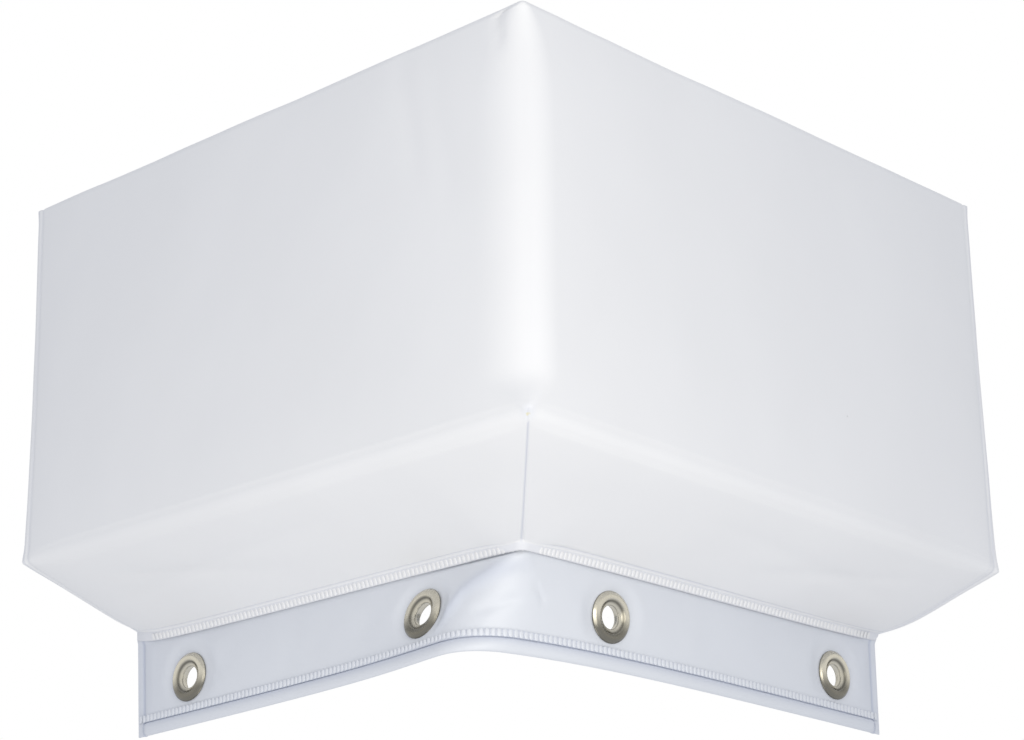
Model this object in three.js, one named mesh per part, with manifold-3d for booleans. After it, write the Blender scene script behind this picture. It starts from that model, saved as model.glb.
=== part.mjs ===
// Dock corner bumper: an L-shaped foam cushion in welded vinyl that wraps the outside corner of a dock.
// The dock's corner edge stands on the Z axis, and the dock itself fills the quarter where X and Y are positive.
// The right wing runs along +X and the left wing along +Y. Z = 0 is the seam where the grommet flange hangs.
import * as THREE from "three";
import { mergeVertices } from "three/addons/utils/BufferGeometryUtils.js";
import Module from "manifold-3d";

const wasm = await Module();
wasm.setup();

// Cushion, in millimetres
const wingLength = 254; // outer corner to the end of a wing
const bodyDepth = 57; // dock side to outer face
const bodyHeight = 165; // flange seam to the top
const undersideRise = 21; // the underside climbs this much from the seam to the outer face
const vinyl = 0.8; // thickness of the sheet
const gap = 0.3; // room left between pieces that are welded or pressed together
const cornerRadius = 8; // upright outer corner
const foldRadius = 5; // fold between an outer face and the underside
const topRadius = 4; // fold between an outer face and the top
const lipDepth = 3; // welded lip that stands past each end panel

// Ribbed weld band at the foot of the underside
const seamBandHeight = 3;
const seamBandLean = 1.2;

// Grommet flange: one strip of the sheet folded double round a hem
const flangeDrop = 34; // seam to the lowest edge
const flangeSetback = 0.3; // the strip's back lies this far outside the dock faces
const tongueHeight = 2.6; // part of the strip that runs up behind the seam band
const hemHeight = 5;
const hemSwell = 0.9; // the hem's roll stands this proud of the flat strip
const hemNeck = 0.3; // the strip steps back this much under the lower weld band
const hemBandHeight = 2.9;
const hemBandSwell = 0.4;

// The hem's soft bend, which has slipped round from the seam's corner on to the left wing
const bendOut = 10.7; // how far outside the left dock face the bend lies
const bendAlong = 15.7; // how far along the left wing the bend lies
const swingWidth = 44; // how soon the strip swings back to the left dock face
const tuckLength = 37; // how soon the strip settles on the right dock face
const bendReach = 9; // half the length of the bend itself

// Grommets: an eyelet pressed into a back washer, each punched where it was marked by hand
const grommetDrop = 15.7; // grommet centres below the seam
const leftNear = 41.5; // left inner grommet from the dock corner
const rightNear = 44.8; // right inner grommet from the dock corner
const leftSetback = 31.2; // left outer grommet from the wing's end
const rightSetback = 28.8; // right outer grommet from the wing's end
const boreRadius = 4.75;
const barrelWall = 0.6;
const eyeletRadius = 9.75;
const domeHeight = 1.5;
const rimThickness = 0.5;
const rollWidth = 1.4; // the barrel's end is rolled out this far behind the washer
const washerRadius = 9.4;
const washerThickness = 0.7;

// Smoothness of round stretches
const foldSteps = 5;
const bendSteps = 8;
const legSteps = 14;
const panelRows = 4;
const grommetSides = 30;

// Worked out from the sizes above
const wingInside = wingLength - bodyDepth; // dock corner to the end of a wing
const liner = vinyl + gap; // what lies inside the sheet starts here
const flangeFront = flangeSetback + 2 * vinyl;
const bandFoot = flangeFront + gap + vinyl;
const bandTop = bandFoot + seamBandLean;
const barrelRadius = boreRadius + barrelWall;
const barrelHole = barrelRadius + gap;
const pressReach = 2; // the flat seats are cleared this far out from the strip
const overrun = 1; // cutting shapes run past what they cut by this much
const farAway = 2 * wingLength;

const coverVinyl = new THREE.MeshStandardMaterial({ color: 0xeceef1, roughness: 0.42, metalness: 0 });
const panelVinyl = new THREE.MeshStandardMaterial({ color: 0xe4e6ea, roughness: 0.5, metalness: 0 });
const flangeVinyl = new THREE.MeshStandardMaterial({ color: 0xdfe2e8, roughness: 0.42, metalness: 0 });
const foam = new THREE.MeshStandardMaterial({ color: 0xf1eee4, roughness: 0.95, metalness: 0 });
const nickel = new THREE.MeshStandardMaterial({ color: 0xa9a59a, roughness: 0.3, metalness: 1 });

// Closed mesh to boolean solid and back
function toSolid(geometry) {
  const bare = geometry.clone();
  bare.deleteAttribute("normal");
  bare.deleteAttribute("uv");
  const merged = mergeVertices(bare, 1e-4);
  return new wasm.Manifold(
    new wasm.Mesh({
      numProp: 3,
      vertProperties: merged.attributes.position.array,
      triVerts: new Uint32Array(merged.index.array),
    }),
  );
}

function toGeometry(solid) {
  const mesh = solid.getMesh();
  const geometry = new THREE.BufferGeometry();
  geometry.setAttribute("position", new THREE.BufferAttribute(mesh.vertProperties, 3));
  geometry.setIndex(new THREE.BufferAttribute(mesh.triVerts, 1));
  return geometry;
}

// The same piece on the other wing: X and Y change places, and each triangle is turned round to face out
function otherWing(geometry) {
  const copy = geometry.index ? geometry.toNonIndexed() : geometry.clone();
  const swap = new THREE.Matrix4().set(0, 1, 0, 0, 1, 0, 0, 0, 0, 0, 1, 0, 0, 0, 0, 1);
  copy.applyMatrix4(swap);
  const points = copy.attributes.position;
  const second = new THREE.Vector3();
  const third = new THREE.Vector3();
  for (let i = 0; i < points.count; i += 3) {
    second.fromBufferAttribute(points, i + 1);
    third.fromBufferAttribute(points, i + 2);
    points.setXYZ(i + 1, third.x, third.y, third.z);
    points.setXYZ(i + 2, second.x, second.y, second.z);
  }
  return copy;
}

// A closed outline through the corners, each rounded to its own radius
function roundedShape(corners) {
  const shape = new THREE.Shape();
  corners.forEach((corner, i) => {
    const here = new THREE.Vector2(corner.x, corner.y);
    const before = corners[(i + corners.length - 1) % corners.length];
    const after = corners[(i + 1) % corners.length];
    const back = new THREE.Vector2(before.x, before.y).sub(here).normalize();
    const ahead = new THREE.Vector2(after.x, after.y).sub(here).normalize();
    const halfAngle = Math.acos(THREE.MathUtils.clamp(back.dot(ahead), -1, 1)) / 2;
    const reach = (corner.radius ?? 0) / Math.tan(halfAngle);
    const start = here.clone().addScaledVector(back, reach);
    const end = here.clone().addScaledVector(ahead, reach);
    if (i === 0) shape.moveTo(start.x, start.y);
    else shape.lineTo(start.x, start.y);
    if (reach > 0) shape.quadraticCurveTo(here.x, here.y, end.x, end.y);
  });
  shape.closePath();
  return shape;
}

// Height of the underside, at a distance out from the dock face, moved into the cushion by an inset
function undersideHeight(out, inset) {
  const slope = (undersideRise - seamBandHeight) / (bodyDepth - bandTop);
  return seamBandHeight + (out - bandTop) * slope + inset * Math.hypot(1, slope);
}

// Extrudes a section drawn in Y and Z along X
function alongX(shape, from, to) {
  const geometry = new THREE.ExtrudeGeometry(shape, {
    depth: to - from,
    bevelEnabled: false,
    curveSegments: foldSteps,
  });
  const turn = new THREE.Matrix4().makeBasis(
    new THREE.Vector3(0, 1, 0),
    new THREE.Vector3(0, 0, 1),
    new THREE.Vector3(1, 0, 0),
  );
  return geometry.applyMatrix4(turn).translate(from, 0, 0);
}

function upward(shape, from, to) {
  const geometry = new THREE.ExtrudeGeometry(shape, {
    depth: to - from,
    bevelEnabled: false,
    curveSegments: foldSteps,
  });
  return geometry.translate(0, 0, from);
}

// Section of the right wing's sheet. It is open towards the dock, so it runs on far past the dock face.
function sheetSection(inset, foot) {
  const outer = bodyDepth - inset;
  const lean = seamBandLean / seamBandHeight;
  const sideways = inset * Math.hypot(1, lean);
  const top = bodyHeight - inset;
  return roundedShape([
    { x: farAway, y: top },
    { x: -outer, y: top, radius: topRadius - inset },
    { x: -outer, y: undersideHeight(outer, inset), radius: foldRadius - inset },
    { x: sideways - bandTop, y: undersideHeight(bandTop - sideways, inset) },
    { x: sideways - bandFoot - foot * lean, y: foot },
    { x: farAway, y: foot },
  ]);
}

// Plan of both wings: an L with a rounded outer corner, from the outer faces to a line near the dock faces
function wingsPlan(inset, dockSide, end) {
  const outer = bodyDepth - inset;
  return roundedShape([
    { x: -outer, y: -outer, radius: cornerRadius - inset },
    { x: end, y: -outer },
    { x: end, y: dockSide },
    { x: dockSide, y: dockSide },
    { x: dockSide, y: end },
    { x: -outer, y: end },
  ]);
}

// Both wings as one solid: the two sections cross at the corner, which mitres the underside
function wingsSolid(inset, foot, dockSide, end) {
  const section = alongX(sheetSection(inset, foot), -bodyDepth - overrun, end);
  const plan = upward(wingsPlan(inset, dockSide, end), foot - overrun, bodyHeight + overrun);
  return toSolid(section).intersect(toSolid(otherWing(section))).intersect(toSolid(plan));
}

// Outer cover: one sheet round the outer faces, the top and the underside, open to the dock and at both ends
function coverGeometry() {
  const outside = wingsSolid(0, 0, 0, wingInside);
  const inside = wingsSolid(vinyl, -overrun, overrun, wingInside + overrun);
  return toGeometry(outside.subtract(inside));
}

// Back panel: the dock side's sheet, folded to a right angle, with the fold's outside rounded
function backPanelGeometry() {
  const plan = roundedShape([
    { x: wingInside, y: 0 },
    { x: 0, y: 0 },
    { x: 0, y: wingInside },
    { x: -vinyl, y: wingInside },
    { x: -vinyl, y: -vinyl, radius: vinyl },
    { x: wingInside, y: -vinyl },
  ]);
  return upward(plan, 0, bodyHeight - liner);
}

// Outline of what fills the right wing inside its sheets
function fillingSection(inset) {
  const outer = bodyDepth - inset;
  return roundedShape([
    { x: -inset, y: bodyHeight - inset },
    { x: -outer, y: bodyHeight - inset, radius: Math.max(topRadius - inset, 0) },
    { x: -outer, y: undersideHeight(outer, inset), radius: Math.max(foldRadius - inset, 0) },
    { x: -inset, y: undersideHeight(inset, inset) },
  ]);
}

// Foam core of the right wing, with a straight mitre where the two cores meet
function foamCoreGeometry() {
  const end = wingInside - lipDepth - gap;
  const block = toSolid(alongX(fillingSection(liner), -bodyDepth, end));
  const outer = bodyDepth - liner;
  const mitre = gap / Math.SQRT2;
  const plan = roundedShape([
    { x: mitre - outer, y: -outer },
    { x: end, y: -outer },
    { x: end, y: -liner },
    { x: mitre - liner, y: -liner },
  ]);
  const rounded = toSolid(upward(wingsPlan(liner, -liner, end), 0, bodyHeight));
  return toGeometry(block.intersect(toSolid(upward(plan, 0, bodyHeight))).intersect(rounded));
}

// End panel of the right wing: a shallow tray whose rim is welded inside the cover's end
function endPanelGeometry() {
  const bottom = wingInside - lipDepth;
  const tray = toSolid(alongX(fillingSection(liner), bottom, wingInside));
  const hollow = toSolid(alongX(fillingSection(liner + vinyl), bottom + vinyl, wingInside + overrun));
  return toGeometry(tray.subtract(hollow));
}

// Line of the flange on its right leg: distance inside the dock face, and how fast that changes
function rightLeg(along, drop) {
  const share = THREE.MathUtils.clamp(drop / flangeDrop, 0, 1);
  const tuck = bendAlong * share * Math.exp(-(along + bendOut * share) / tuckLength);
  return { point: new THREE.Vector2(along, tuck), normal: new THREE.Vector2(-tuck / tuckLength, -1).normalize() };
}

// The same on its left leg, where the strip swings outside the dock face
function leftLeg(along, drop) {
  const share = THREE.MathUtils.clamp(drop / flangeDrop, 0, 1);
  const offset = (along - bendAlong * share) / swingWidth;
  const swing = (bendOut * share) / (1 + offset * offset);
  const lean = (2 * offset * swing) / (1 + offset * offset) / swingWidth;
  return { point: new THREE.Vector2(-swing, along), normal: new THREE.Vector2(-1, lean).normalize() };
}

// Stations run from the right wing's end, round the bend, to the left wing's end
function flangeStation(index, drop) {
  const share = THREE.MathUtils.clamp(drop / flangeDrop, 0, 1);
  const reach = bendReach * share;
  const rightStart = reach - bendOut * share;
  const leftStart = reach + bendAlong * share;
  if (index <= legSteps) {
    const near = (1 - index / legSteps) ** 1.5;
    return rightLeg(rightStart + (wingInside - rightStart) * near, drop);
  }
  if (index >= legSteps + bendSteps) {
    const near = ((index - legSteps - bendSteps) / legSteps) ** 1.5;
    return leftLeg(leftStart + (wingInside - leftStart) * near, drop);
  }
  const turn = (index - legSteps) / bendSteps;
  const right = rightLeg(rightStart, drop);
  const left = leftLeg(leftStart, drop);
  const bend = new THREE.QuadraticBezierCurve(
    right.point,
    new THREE.Vector2(-bendOut * share, bendAlong * share),
    left.point,
  );
  const from = right.normal.angle();
  const to = left.normal.angle();
  const angle = from + (to - from) * turn;
  return { point: bend.getPoint(turn), normal: new THREE.Vector2(Math.cos(angle), Math.sin(angle)) };
}

// Section of the flange strip: out from the dock face, and up
function flangeSection() {
  const neck = hemHeight - flangeDrop;
  const bandEdge = neck + hemBandHeight;
  const proud = flangeFront + hemBandSwell;
  const rollCentre = hemHeight / 2 - flangeDrop;
  const rows = Array.from({ length: panelRows }, (_, row) => -gap + ((bandEdge + gap) * row) / panelRows);
  const shape = new THREE.Shape();
  shape.moveTo(flangeSetback, -gap);
  rows.slice(1).forEach((height) => shape.lineTo(flangeSetback, height));
  shape.lineTo(flangeSetback, rollCentre);
  shape.quadraticCurveTo(flangeSetback, -flangeDrop, flangeFront / 2 + flangeSetback, -flangeDrop);
  shape.quadraticCurveTo(flangeFront + hemSwell, -flangeDrop, flangeFront + hemSwell, rollCentre);
  shape.quadraticCurveTo(flangeFront + hemSwell, neck, flangeFront - hemNeck, neck);
  shape.lineTo(proud, neck + hemBandSwell);
  shape.lineTo(proud, bandEdge - hemBandSwell);
  shape.lineTo(flangeFront, bandEdge);
  rows.reverse().forEach((height) => shape.lineTo(flangeFront, height));
  shape.lineTo(flangeFront, tongueHeight);
  shape.lineTo(liner, tongueHeight);
  shape.lineTo(liner, -gap);
  shape.closePath();
  return shape;
}

// Flange strip, laid straight by the extrusion and then carried round the corner station by station
function flangeGeometry() {
  const steps = 2 * legSteps + bendSteps;
  const strip = new THREE.ExtrudeGeometry(flangeSection(), {
    depth: steps,
    steps,
    bevelEnabled: false,
    curveSegments: 3,
  });
  const points = strip.attributes.position;
  for (let i = 0; i < points.count; i += 1) {
    const out = points.getX(i);
    const up = points.getY(i);
    const { point, normal } = flangeStation(Math.round(points.getZ(i)), -up);
    points.setXYZ(i, point.x + normal.x * out, point.y + normal.y * out, up);
  }
  const presses = grommetSeats.map((seat) => {
    const spool = pressGeometry().applyQuaternion(seat.turn);
    return toSolid(spool.translate(seat.centre.x, seat.centre.y, seat.centre.z));
  });
  return toGeometry(presses.reduce((solid, press) => solid.subtract(press), toSolid(strip)));
}

// What a grommet takes from the strip: the barrel's hole, and a flat seat pressed under each rim
function pressGeometry() {
  const back = -2 * vinyl;
  const profile = [
    new THREE.Vector2(0, back - pressReach),
    new THREE.Vector2(washerRadius + gap, back - pressReach),
    new THREE.Vector2(washerRadius + gap, back),
    new THREE.Vector2(barrelHole, back),
    new THREE.Vector2(barrelHole, 0),
    new THREE.Vector2(eyeletRadius + gap, 0),
    new THREE.Vector2(eyeletRadius + gap, pressReach),
    new THREE.Vector2(0, pressReach),
  ];
  return new THREE.LatheGeometry(profile, grommetSides);
}

// Where a grommet sits: on the strip's front, with +Y of the grommet along the strip's outward normal
function grommetSeat(name, leg, along) {
  const onFront = (distance, drop) => {
    const { point, normal } = leg(distance, drop);
    const flat = point.addScaledVector(normal, flangeFront);
    return new THREE.Vector3(flat.x, flat.y, -drop);
  };
  const centre = onFront(along, grommetDrop);
  const across = onFront(along + 1, grommetDrop).sub(onFront(along - 1, grommetDrop));
  const down = onFront(along, grommetDrop + 1).sub(onFront(along, grommetDrop - 1));
  const outward = across.cross(down).normalize();
  if (outward.dot(new THREE.Vector3(-1, -1, 0)) < 0) outward.negate();
  const turn = new THREE.Quaternion().setFromUnitVectors(new THREE.Vector3(0, 1, 0), outward);
  return { name, centre, turn };
}

const grommetSeats = [
  grommetSeat("left_outer", leftLeg, wingInside - leftSetback),
  grommetSeat("left_inner", leftLeg, leftNear),
  grommetSeat("right_inner", rightLeg, rightNear),
  grommetSeat("right_outer", rightLeg, wingInside - rightSetback),
];

// Heights along a grommet's axis, from the strip's front
const rimFoot = gap;
const washerFront = -2 * vinyl - gap;
const washerBack = washerFront - washerThickness;
const rollFront = washerBack - gap;
const rollBack = rollFront - barrelWall;

// Eyelet: domed rim, smooth throat, barrel and rolled end in one pressed piece
function eyeletGeometry() {
  const domeCentre = (boreRadius + eyeletRadius) / 2;
  const crown = rimFoot + domeHeight;
  const throat = new THREE.QuadraticBezierCurve(
    new THREE.Vector2(boreRadius, 0),
    new THREE.Vector2(boreRadius, crown),
    new THREE.Vector2(domeCentre - barrelWall, crown),
  );
  const dome = new THREE.QuadraticBezierCurve(
    new THREE.Vector2(domeCentre - barrelWall, crown),
    new THREE.Vector2(eyeletRadius - rimThickness, crown),
    new THREE.Vector2(eyeletRadius, rimFoot + rimThickness / 2),
  );
  const profile = [
    new THREE.Vector2(boreRadius, rollBack + barrelWall),
    ...throat.getPoints(4),
    ...dome.getPoints(4).slice(1),
    new THREE.Vector2(eyeletRadius, rimFoot),
    new THREE.Vector2(barrelRadius, rimFoot),
    new THREE.Vector2(barrelRadius, rollFront),
    new THREE.Vector2(barrelRadius + rollWidth, rollFront),
    new THREE.Vector2(barrelRadius + rollWidth / 2, rollBack),
    new THREE.Vector2(boreRadius + barrelWall / 2, rollBack),
    new THREE.Vector2(boreRadius, rollBack + barrelWall),
  ];
  return new THREE.LatheGeometry(profile.reverse(), grommetSides);
}

// Back washer: a flat ring with its outer edge chamfered on the dock side
function washerGeometry() {
  const chamfer = washerThickness / 2;
  const profile = [
    new THREE.Vector2(barrelHole, washerBack),
    new THREE.Vector2(barrelHole, washerFront),
    new THREE.Vector2(washerRadius, washerFront),
    new THREE.Vector2(washerRadius, washerBack + chamfer),
    new THREE.Vector2(washerRadius - chamfer, washerBack),
    new THREE.Vector2(barrelHole, washerBack),
  ];
  return new THREE.LatheGeometry(profile.reverse(), grommetSides);
}

function piece(name, geometry, material) {
  const mesh = new THREE.Mesh(geometry, material);
  mesh.name = name;
  return mesh;
}

const bumper = new THREE.Group();

const foamCore = foamCoreGeometry();
bumper.add(piece("foam_core_right", foamCore, foam));
bumper.add(piece("foam_core_left", otherWing(foamCore), foam));

bumper.add(piece("outer_cover", coverGeometry(), coverVinyl));
bumper.add(piece("back_panel", backPanelGeometry(), panelVinyl));

const endPanel = endPanelGeometry();
bumper.add(piece("end_panel_right", endPanel, panelVinyl));
bumper.add(piece("end_panel_left", otherWing(endPanel), panelVinyl));

bumper.add(piece("grommet_flange", flangeGeometry(), flangeVinyl));

for (const seat of grommetSeats) {
  const grommet = new THREE.Group();
  grommet.position.copy(seat.centre);
  grommet.quaternion.copy(seat.turn);
  grommet.add(piece(`eyelet_${seat.name}`, eyeletGeometry(), nickel));
  grommet.add(piece(`washer_${seat.name}`, washerGeometry(), nickel));
  bumper.add(grommet);
}

export default bumper;
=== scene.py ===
import math

import bmesh
import bpy
import numpy as np
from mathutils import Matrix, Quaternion, Vector, noise


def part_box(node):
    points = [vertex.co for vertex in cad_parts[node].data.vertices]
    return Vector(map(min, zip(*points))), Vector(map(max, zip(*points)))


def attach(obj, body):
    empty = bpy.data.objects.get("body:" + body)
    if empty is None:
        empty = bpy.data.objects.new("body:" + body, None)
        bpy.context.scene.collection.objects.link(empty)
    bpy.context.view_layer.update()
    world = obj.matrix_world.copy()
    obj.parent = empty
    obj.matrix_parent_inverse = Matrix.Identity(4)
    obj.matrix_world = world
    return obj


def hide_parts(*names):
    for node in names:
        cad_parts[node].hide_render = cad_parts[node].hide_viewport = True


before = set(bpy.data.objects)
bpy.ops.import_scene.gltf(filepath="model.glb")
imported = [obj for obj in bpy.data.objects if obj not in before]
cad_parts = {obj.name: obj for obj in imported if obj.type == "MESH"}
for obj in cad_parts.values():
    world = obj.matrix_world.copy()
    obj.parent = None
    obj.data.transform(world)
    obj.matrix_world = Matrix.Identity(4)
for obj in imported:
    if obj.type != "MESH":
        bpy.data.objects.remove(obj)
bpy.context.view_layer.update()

bl_info = {
    "name": "Dock corner bumper",
    "version": (1, 0, 0),
    "blender": (4, 5, 0),
    "location": "3D View > Sidebar > Bumper",
    "description": "Dresses a welded vinyl dock corner bumper with its grommet flange",
    "category": "Object",
}

# The frame: the dock's corner edge is the Z axis, the right wing runs along +X and the left wing along +Y
MM = 0.001
BODY = "root"
COVER_LOW, COVER_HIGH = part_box("outer_cover")
BODY_DEPTH = -COVER_LOW.x
WING_END = COVER_HIGH.x
BODY_TOP = COVER_HIGH.z
FLANGE_DROP = -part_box("grommet_flange")[0].z
PANEL_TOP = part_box("back_panel")[1].z
WASHER_GAP = 0.1 * MM
SHEET_GAP = 0.3 * MM


def length(name, description, value):
    """A size in metres, as a user would set it."""
    return bpy.props.FloatProperty(
        name=name, description=description, default=value, unit="LENGTH", precision=5
    )


def colour(name, description, value):
    """A colour that a user would set, from an sRGB hex value."""
    return bpy.props.FloatVectorProperty(
        name=name, description=description, default=linear(value), size=4, subtype="COLOR", min=0, max=1
    )


def linear(hex_value):
    """An sRGB hex value as a linear colour with full alpha."""
    channels = [int(hex_value[i : i + 2], 16) / 255 for i in (0, 2, 4)]
    return tuple(c / 12.92 if c <= 0.04045 else ((c + 0.055) / 1.055) ** 2.4 for c in channels) + (1.0,)


class BumperCushion(bpy.types.PropertyGroup):
    """Sizes and colours of the cushion."""

    sheet: length("Sheet", "Thickness of the vinyl", 0.8 * MM)
    rise: length("Underside rise", "How far the underside climbs to the outer face", 21 * MM)
    corner_left: length("Corner reach left", "Where the left face starts to turn to the corner", 21 * MM)
    corner_right: length("Corner reach right", "Where the right face starts to turn to it", 14 * MM)
    corner_tip: length("Corner tip reach", "The same at the corner's tight top and bottom tips", 2.0 * MM)
    fold: length("Fold radius", "Fold between an outer face and the underside", 6 * MM)
    top_fold: length("Top fold radius", "Fold between an outer face and the top", 2.2 * MM)
    end_fold: length("End fold radius", "Both folds at a wing's end, drawn tight by the weld", 1.2 * MM)
    seam_corner: length("Seam corner reach", "Where the seam starts to turn to the dock's corner", 5 * MM)
    band_foot: length("Seam band foot", "Dock face to the foot of the seam band", 2.75 * MM)
    band_height: length("Seam band height", "Height of the ribbed weld band at the seam", 3.0 * MM)
    band_lean: length("Seam band lean", "How far the band leans out over its height", 1.2 * MM)
    crown: length("Crown", "How far the foam pushes each face out", 1.2 * MM)
    unevenness: length("Unevenness", "Height of the slow waves in the skin", 0.45 * MM)
    lip: length("End lip", "Width of the welded lip at each end", 2.4 * MM)
    ear: length("Ear", "How far a corner of an end stands out past the rest", 1.0 * MM)
    margin: length("Margin", "Seam band to the fine step where the cover is folded over it", 1.3 * MM)
    sink: length("End sink", "How far the cover sinks toward each end", 0.4 * MM)
    groove: length("End groove", "Depth of the welded line beside each lip", 0.35 * MM)
    panel_depth: length("Panel depth", "How deep the edges of an end panel reach in", 3 * MM)
    vinyl: colour("Vinyl", "Colour of the outer cover", "EFEFF0")
    panel: colour("Panel vinyl", "Colour of the back and end panels", "E4E6EA")
    foam: colour("Foam", "Colour of the foam inside", "F1EEE4")


class BumperDart(bpy.types.PropertyGroup):
    """Sizes of the welded dart along the mitre, and of the dimple at its tip."""

    depth: length("Depth", "How deep the weld lies", 0.35 * MM)
    width: length("Width", "Width of the weld", 0.5 * MM)
    hollow: length("Hollow", "How far the sheet sinks toward the weld", 0.45 * MM)
    hollow_width: length("Hollow width", "Width of that hollow", 6 * MM)
    dimple: length("Dimple", "Depth of the dimple", 1.1 * MM)
    dimple_width: length("Dimple width", "Width of the dimple", 2.0 * MM)
    pucker: length("Pucker", "Depth of the puckers that run out of the dimple", 0.35 * MM)
    pucker_width: length("Pucker width", "Width of a pucker at the dimple", 1.3 * MM)
    pucker_reach: length("Pucker reach", "How soon a pucker fades", 11 * MM)


class BumperSag(bpy.types.PropertyGroup):
    """How the soft part sags, curls and leans."""

    seam_sag: length("Seam sag", "How far the seam hangs down at the dock's corner", 1.4 * MM)
    sag_reach: length("Sag reach", "How soon that sag fades along the wings", 60 * MM)
    seam_curl: length("Seam curl", "How far the seam curls up toward the ends", 1.7 * MM)
    curl_reach: length("Curl reach", "How soon that curl fades from the ends", 50 * MM)
    left_tip: length("Left tip", "Further sharp curl at the very end of the left wing", 2.0 * MM)
    right_tip: length("Right tip", "Further sharp curl at the very end of the right wing", 0.4 * MM)
    tip_reach: length("Tip reach", "How soon the sharp curls fade", 7 * MM)
    follow_left: length("Follow left", "How far up the left wing follows its seam", 11 * MM)
    follow_right: length("Follow right", "How far up the right wing follows its seam", 4 * MM)
    follow_down: length("Follow down", "How far down the flange follows the seam", 28.9 * MM)
    corner_dip: length("Corner dip", "How far the seam band's top edge dips at the dock's corner", 0.9 * MM)
    dip_reach: length("Dip reach", "Half the width of that dip", 11 * MM)
    top_peak: length("Top peak", "How far the top corner's tip stands up past the top edges", 0.4 * MM)
    peak_reach: length("Peak reach", "How soon that peak fades", 14 * MM)
    left_squeeze: length("Left squeeze", "How much the left end's height is drawn together below", 2.2 * MM)
    right_spread: length("Right spread", "How much the right end's height is spread below", 2.0 * MM)
    top_tilt: length("Top tilt", "How far the left end's top sinks and the right end's top rises", 0.9 * MM)
    right_rake: length("Right rake", "How far the right end leans in at the top and out below", 2.0 * MM)
    end_reach: length("End reach", "How soon the slant of the flange's ends fades", 60 * MM)


class BumperFlange(bpy.types.PropertyGroup):
    """Sizes and colour of the grommet flange."""

    setback: length("Setback", "Gap between the dock face and the strip", 0.3 * MM)
    tongue: length("Tongue", "How far the strip runs up behind the seam band", 2.6 * MM)
    hem: length("Hem", "Height of the rolled hem", 5.0 * MM)
    hem_swell: length("Hem swell", "How far the hem's roll stands proud of the strip", 0.9 * MM)
    hem_neck: length("Hem neck", "Groove under the lower weld band", 0.45 * MM)
    band_height: length("Hem band height", "Height of the ribbed band above the hem", 2.9 * MM)
    band_swell: length("Hem band swell", "How far that band stands proud", 0.4 * MM)
    puff: length("Puff", "How far the loose front layer bows out between its welds", 1.1 * MM)
    bend_out: length("Bend out", "How far outside the left dock face the soft bend lies", 10.7 * MM)
    bend_along: length("Bend along", "How far along the left wing the soft bend lies", 15.7 * MM)
    bend_reach: length("Bend reach", "Half the length of the soft bend", 9 * MM)
    bend_start: length("Bend start", "Half the length of the bend at the seam", 2.4 * MM)
    bend_middle: length("Bend middle", "How much wider the bend is half way down", 9 * MM)
    swing: length("Swing", "How soon the strip swings back to the left dock face", 44 * MM)
    tuck: length("Tuck", "How soon the strip settles on the right dock face", 37 * MM)
    border: length("End border", "Width of the flat weld at each end of the strip", 3.3 * MM)
    groove: length("End groove", "End of the strip to the groove of its end weld", 3.6 * MM)
    groove_depth: length("End groove depth", "Depth of that groove", 0.6 * MM)
    groove_width: length("End groove width", "Width of that groove", 0.9 * MM)
    flattened: length("Flattened", "How far the end welds are pressed below the strip's front", 0.3 * MM)
    left_slant: length("Left slant", "How far the hem stops short of the seam at the left end", 2.8 * MM)
    right_slant: length("Right slant", "How far the hem stops short of the seam at the right end", 1.68 * MM)
    crease: length("Crease", "Height of the step where the strip folds up to its soft bend", 1.9 * MM)
    # Painted shade: the strip's vinyl is darker and bluer than the cover's, standing in for the shade it
    # lies in under the cushion
    vinyl: colour("Vinyl", "Colour of the strip, a little bluer than the cover", "DCDFE5")


class BumperWelds(bpy.types.PropertyGroup):
    """Sizes of the ribs that the welding die presses."""

    pitch: length("Rib pitch", "Distance between the ribs", 2.05 * MM)
    width: length("Rib width", "Width of one rib", 1.75 * MM)
    relief: length("Rib relief", "How far a rib stands out of its band", 0.3 * MM)


class BumperGrommets(bpy.types.PropertyGroup):
    """Places and sizes of the grommets."""

    drop: length("Drop", "Grommet centres below the seam", 15.7 * MM)
    left_near: length("Left near", "Left inner grommet from the dock corner", 41.5 * MM)
    right_near: length("Right near", "Right inner grommet from the dock corner", 44.8 * MM)
    left_setback: length("Left setback", "Left outer grommet from the wing's end", 31.2 * MM)
    right_setback: length("Right setback", "Right outer grommet from the wing's end", 28.8 * MM)
    bore: length("Bore", "Radius of the throat at its narrowest", 4.15 * MM)
    flare: length("Flare", "How much wider the barrel is behind the throat", 0.6 * MM)
    mouth: length("Mouth", "Radius where the rim turns down into the throat", 5.9 * MM)
    seat: length("Seat", "Radius of the hole through the strip", 6.2 * MM)
    rim: length("Rim", "Radius of the domed rim", 9.2 * MM)
    wall: length("Wall", "Thickness of the pressed metal", 0.45 * MM)
    dome: length("Dome", "Height of the rim over the vinyl", 1.3 * MM)
    washer: length("Washer", "Radius of the washer behind", 9.4 * MM)
    washer_thickness: length("Washer thickness", "Thickness of the washer behind", 0.5 * MM)
    roll: length("Roll", "How far the barrel's end is rolled out behind the washer", 1.4 * MM)
    metal: colour("Metal", "Colour of the nickel plating", "CFCABB")


class BumperStage(bpy.types.PropertyGroup):
    """Camera and floor."""

    lens: bpy.props.FloatProperty(name="Lens", description="Focal length in millimetres", default=106.2)
    heading: bpy.props.FloatProperty(
        name="Heading", description="Turn of the view from +X", default=math.radians(43.03), subtype="ANGLE"
    )
    pitch: bpy.props.FloatProperty(
        name="Pitch", description="How far the view looks up", default=math.radians(19.39), subtype="ANGLE"
    )
    roll: bpy.props.FloatProperty(
        name="Roll", description="Lean of the camera", default=math.radians(-0.74), subtype="ANGLE"
    )
    place: bpy.props.FloatVectorProperty(
        name="Camera place",
        description="Where the camera stands",
        default=(-0.7168, -0.6660, -0.2807),
        unit="LENGTH",
    )
    floor_drop: length("Floor drop", "How far the floor lies below the seam", 1500 * MM)


# Meshes

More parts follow.
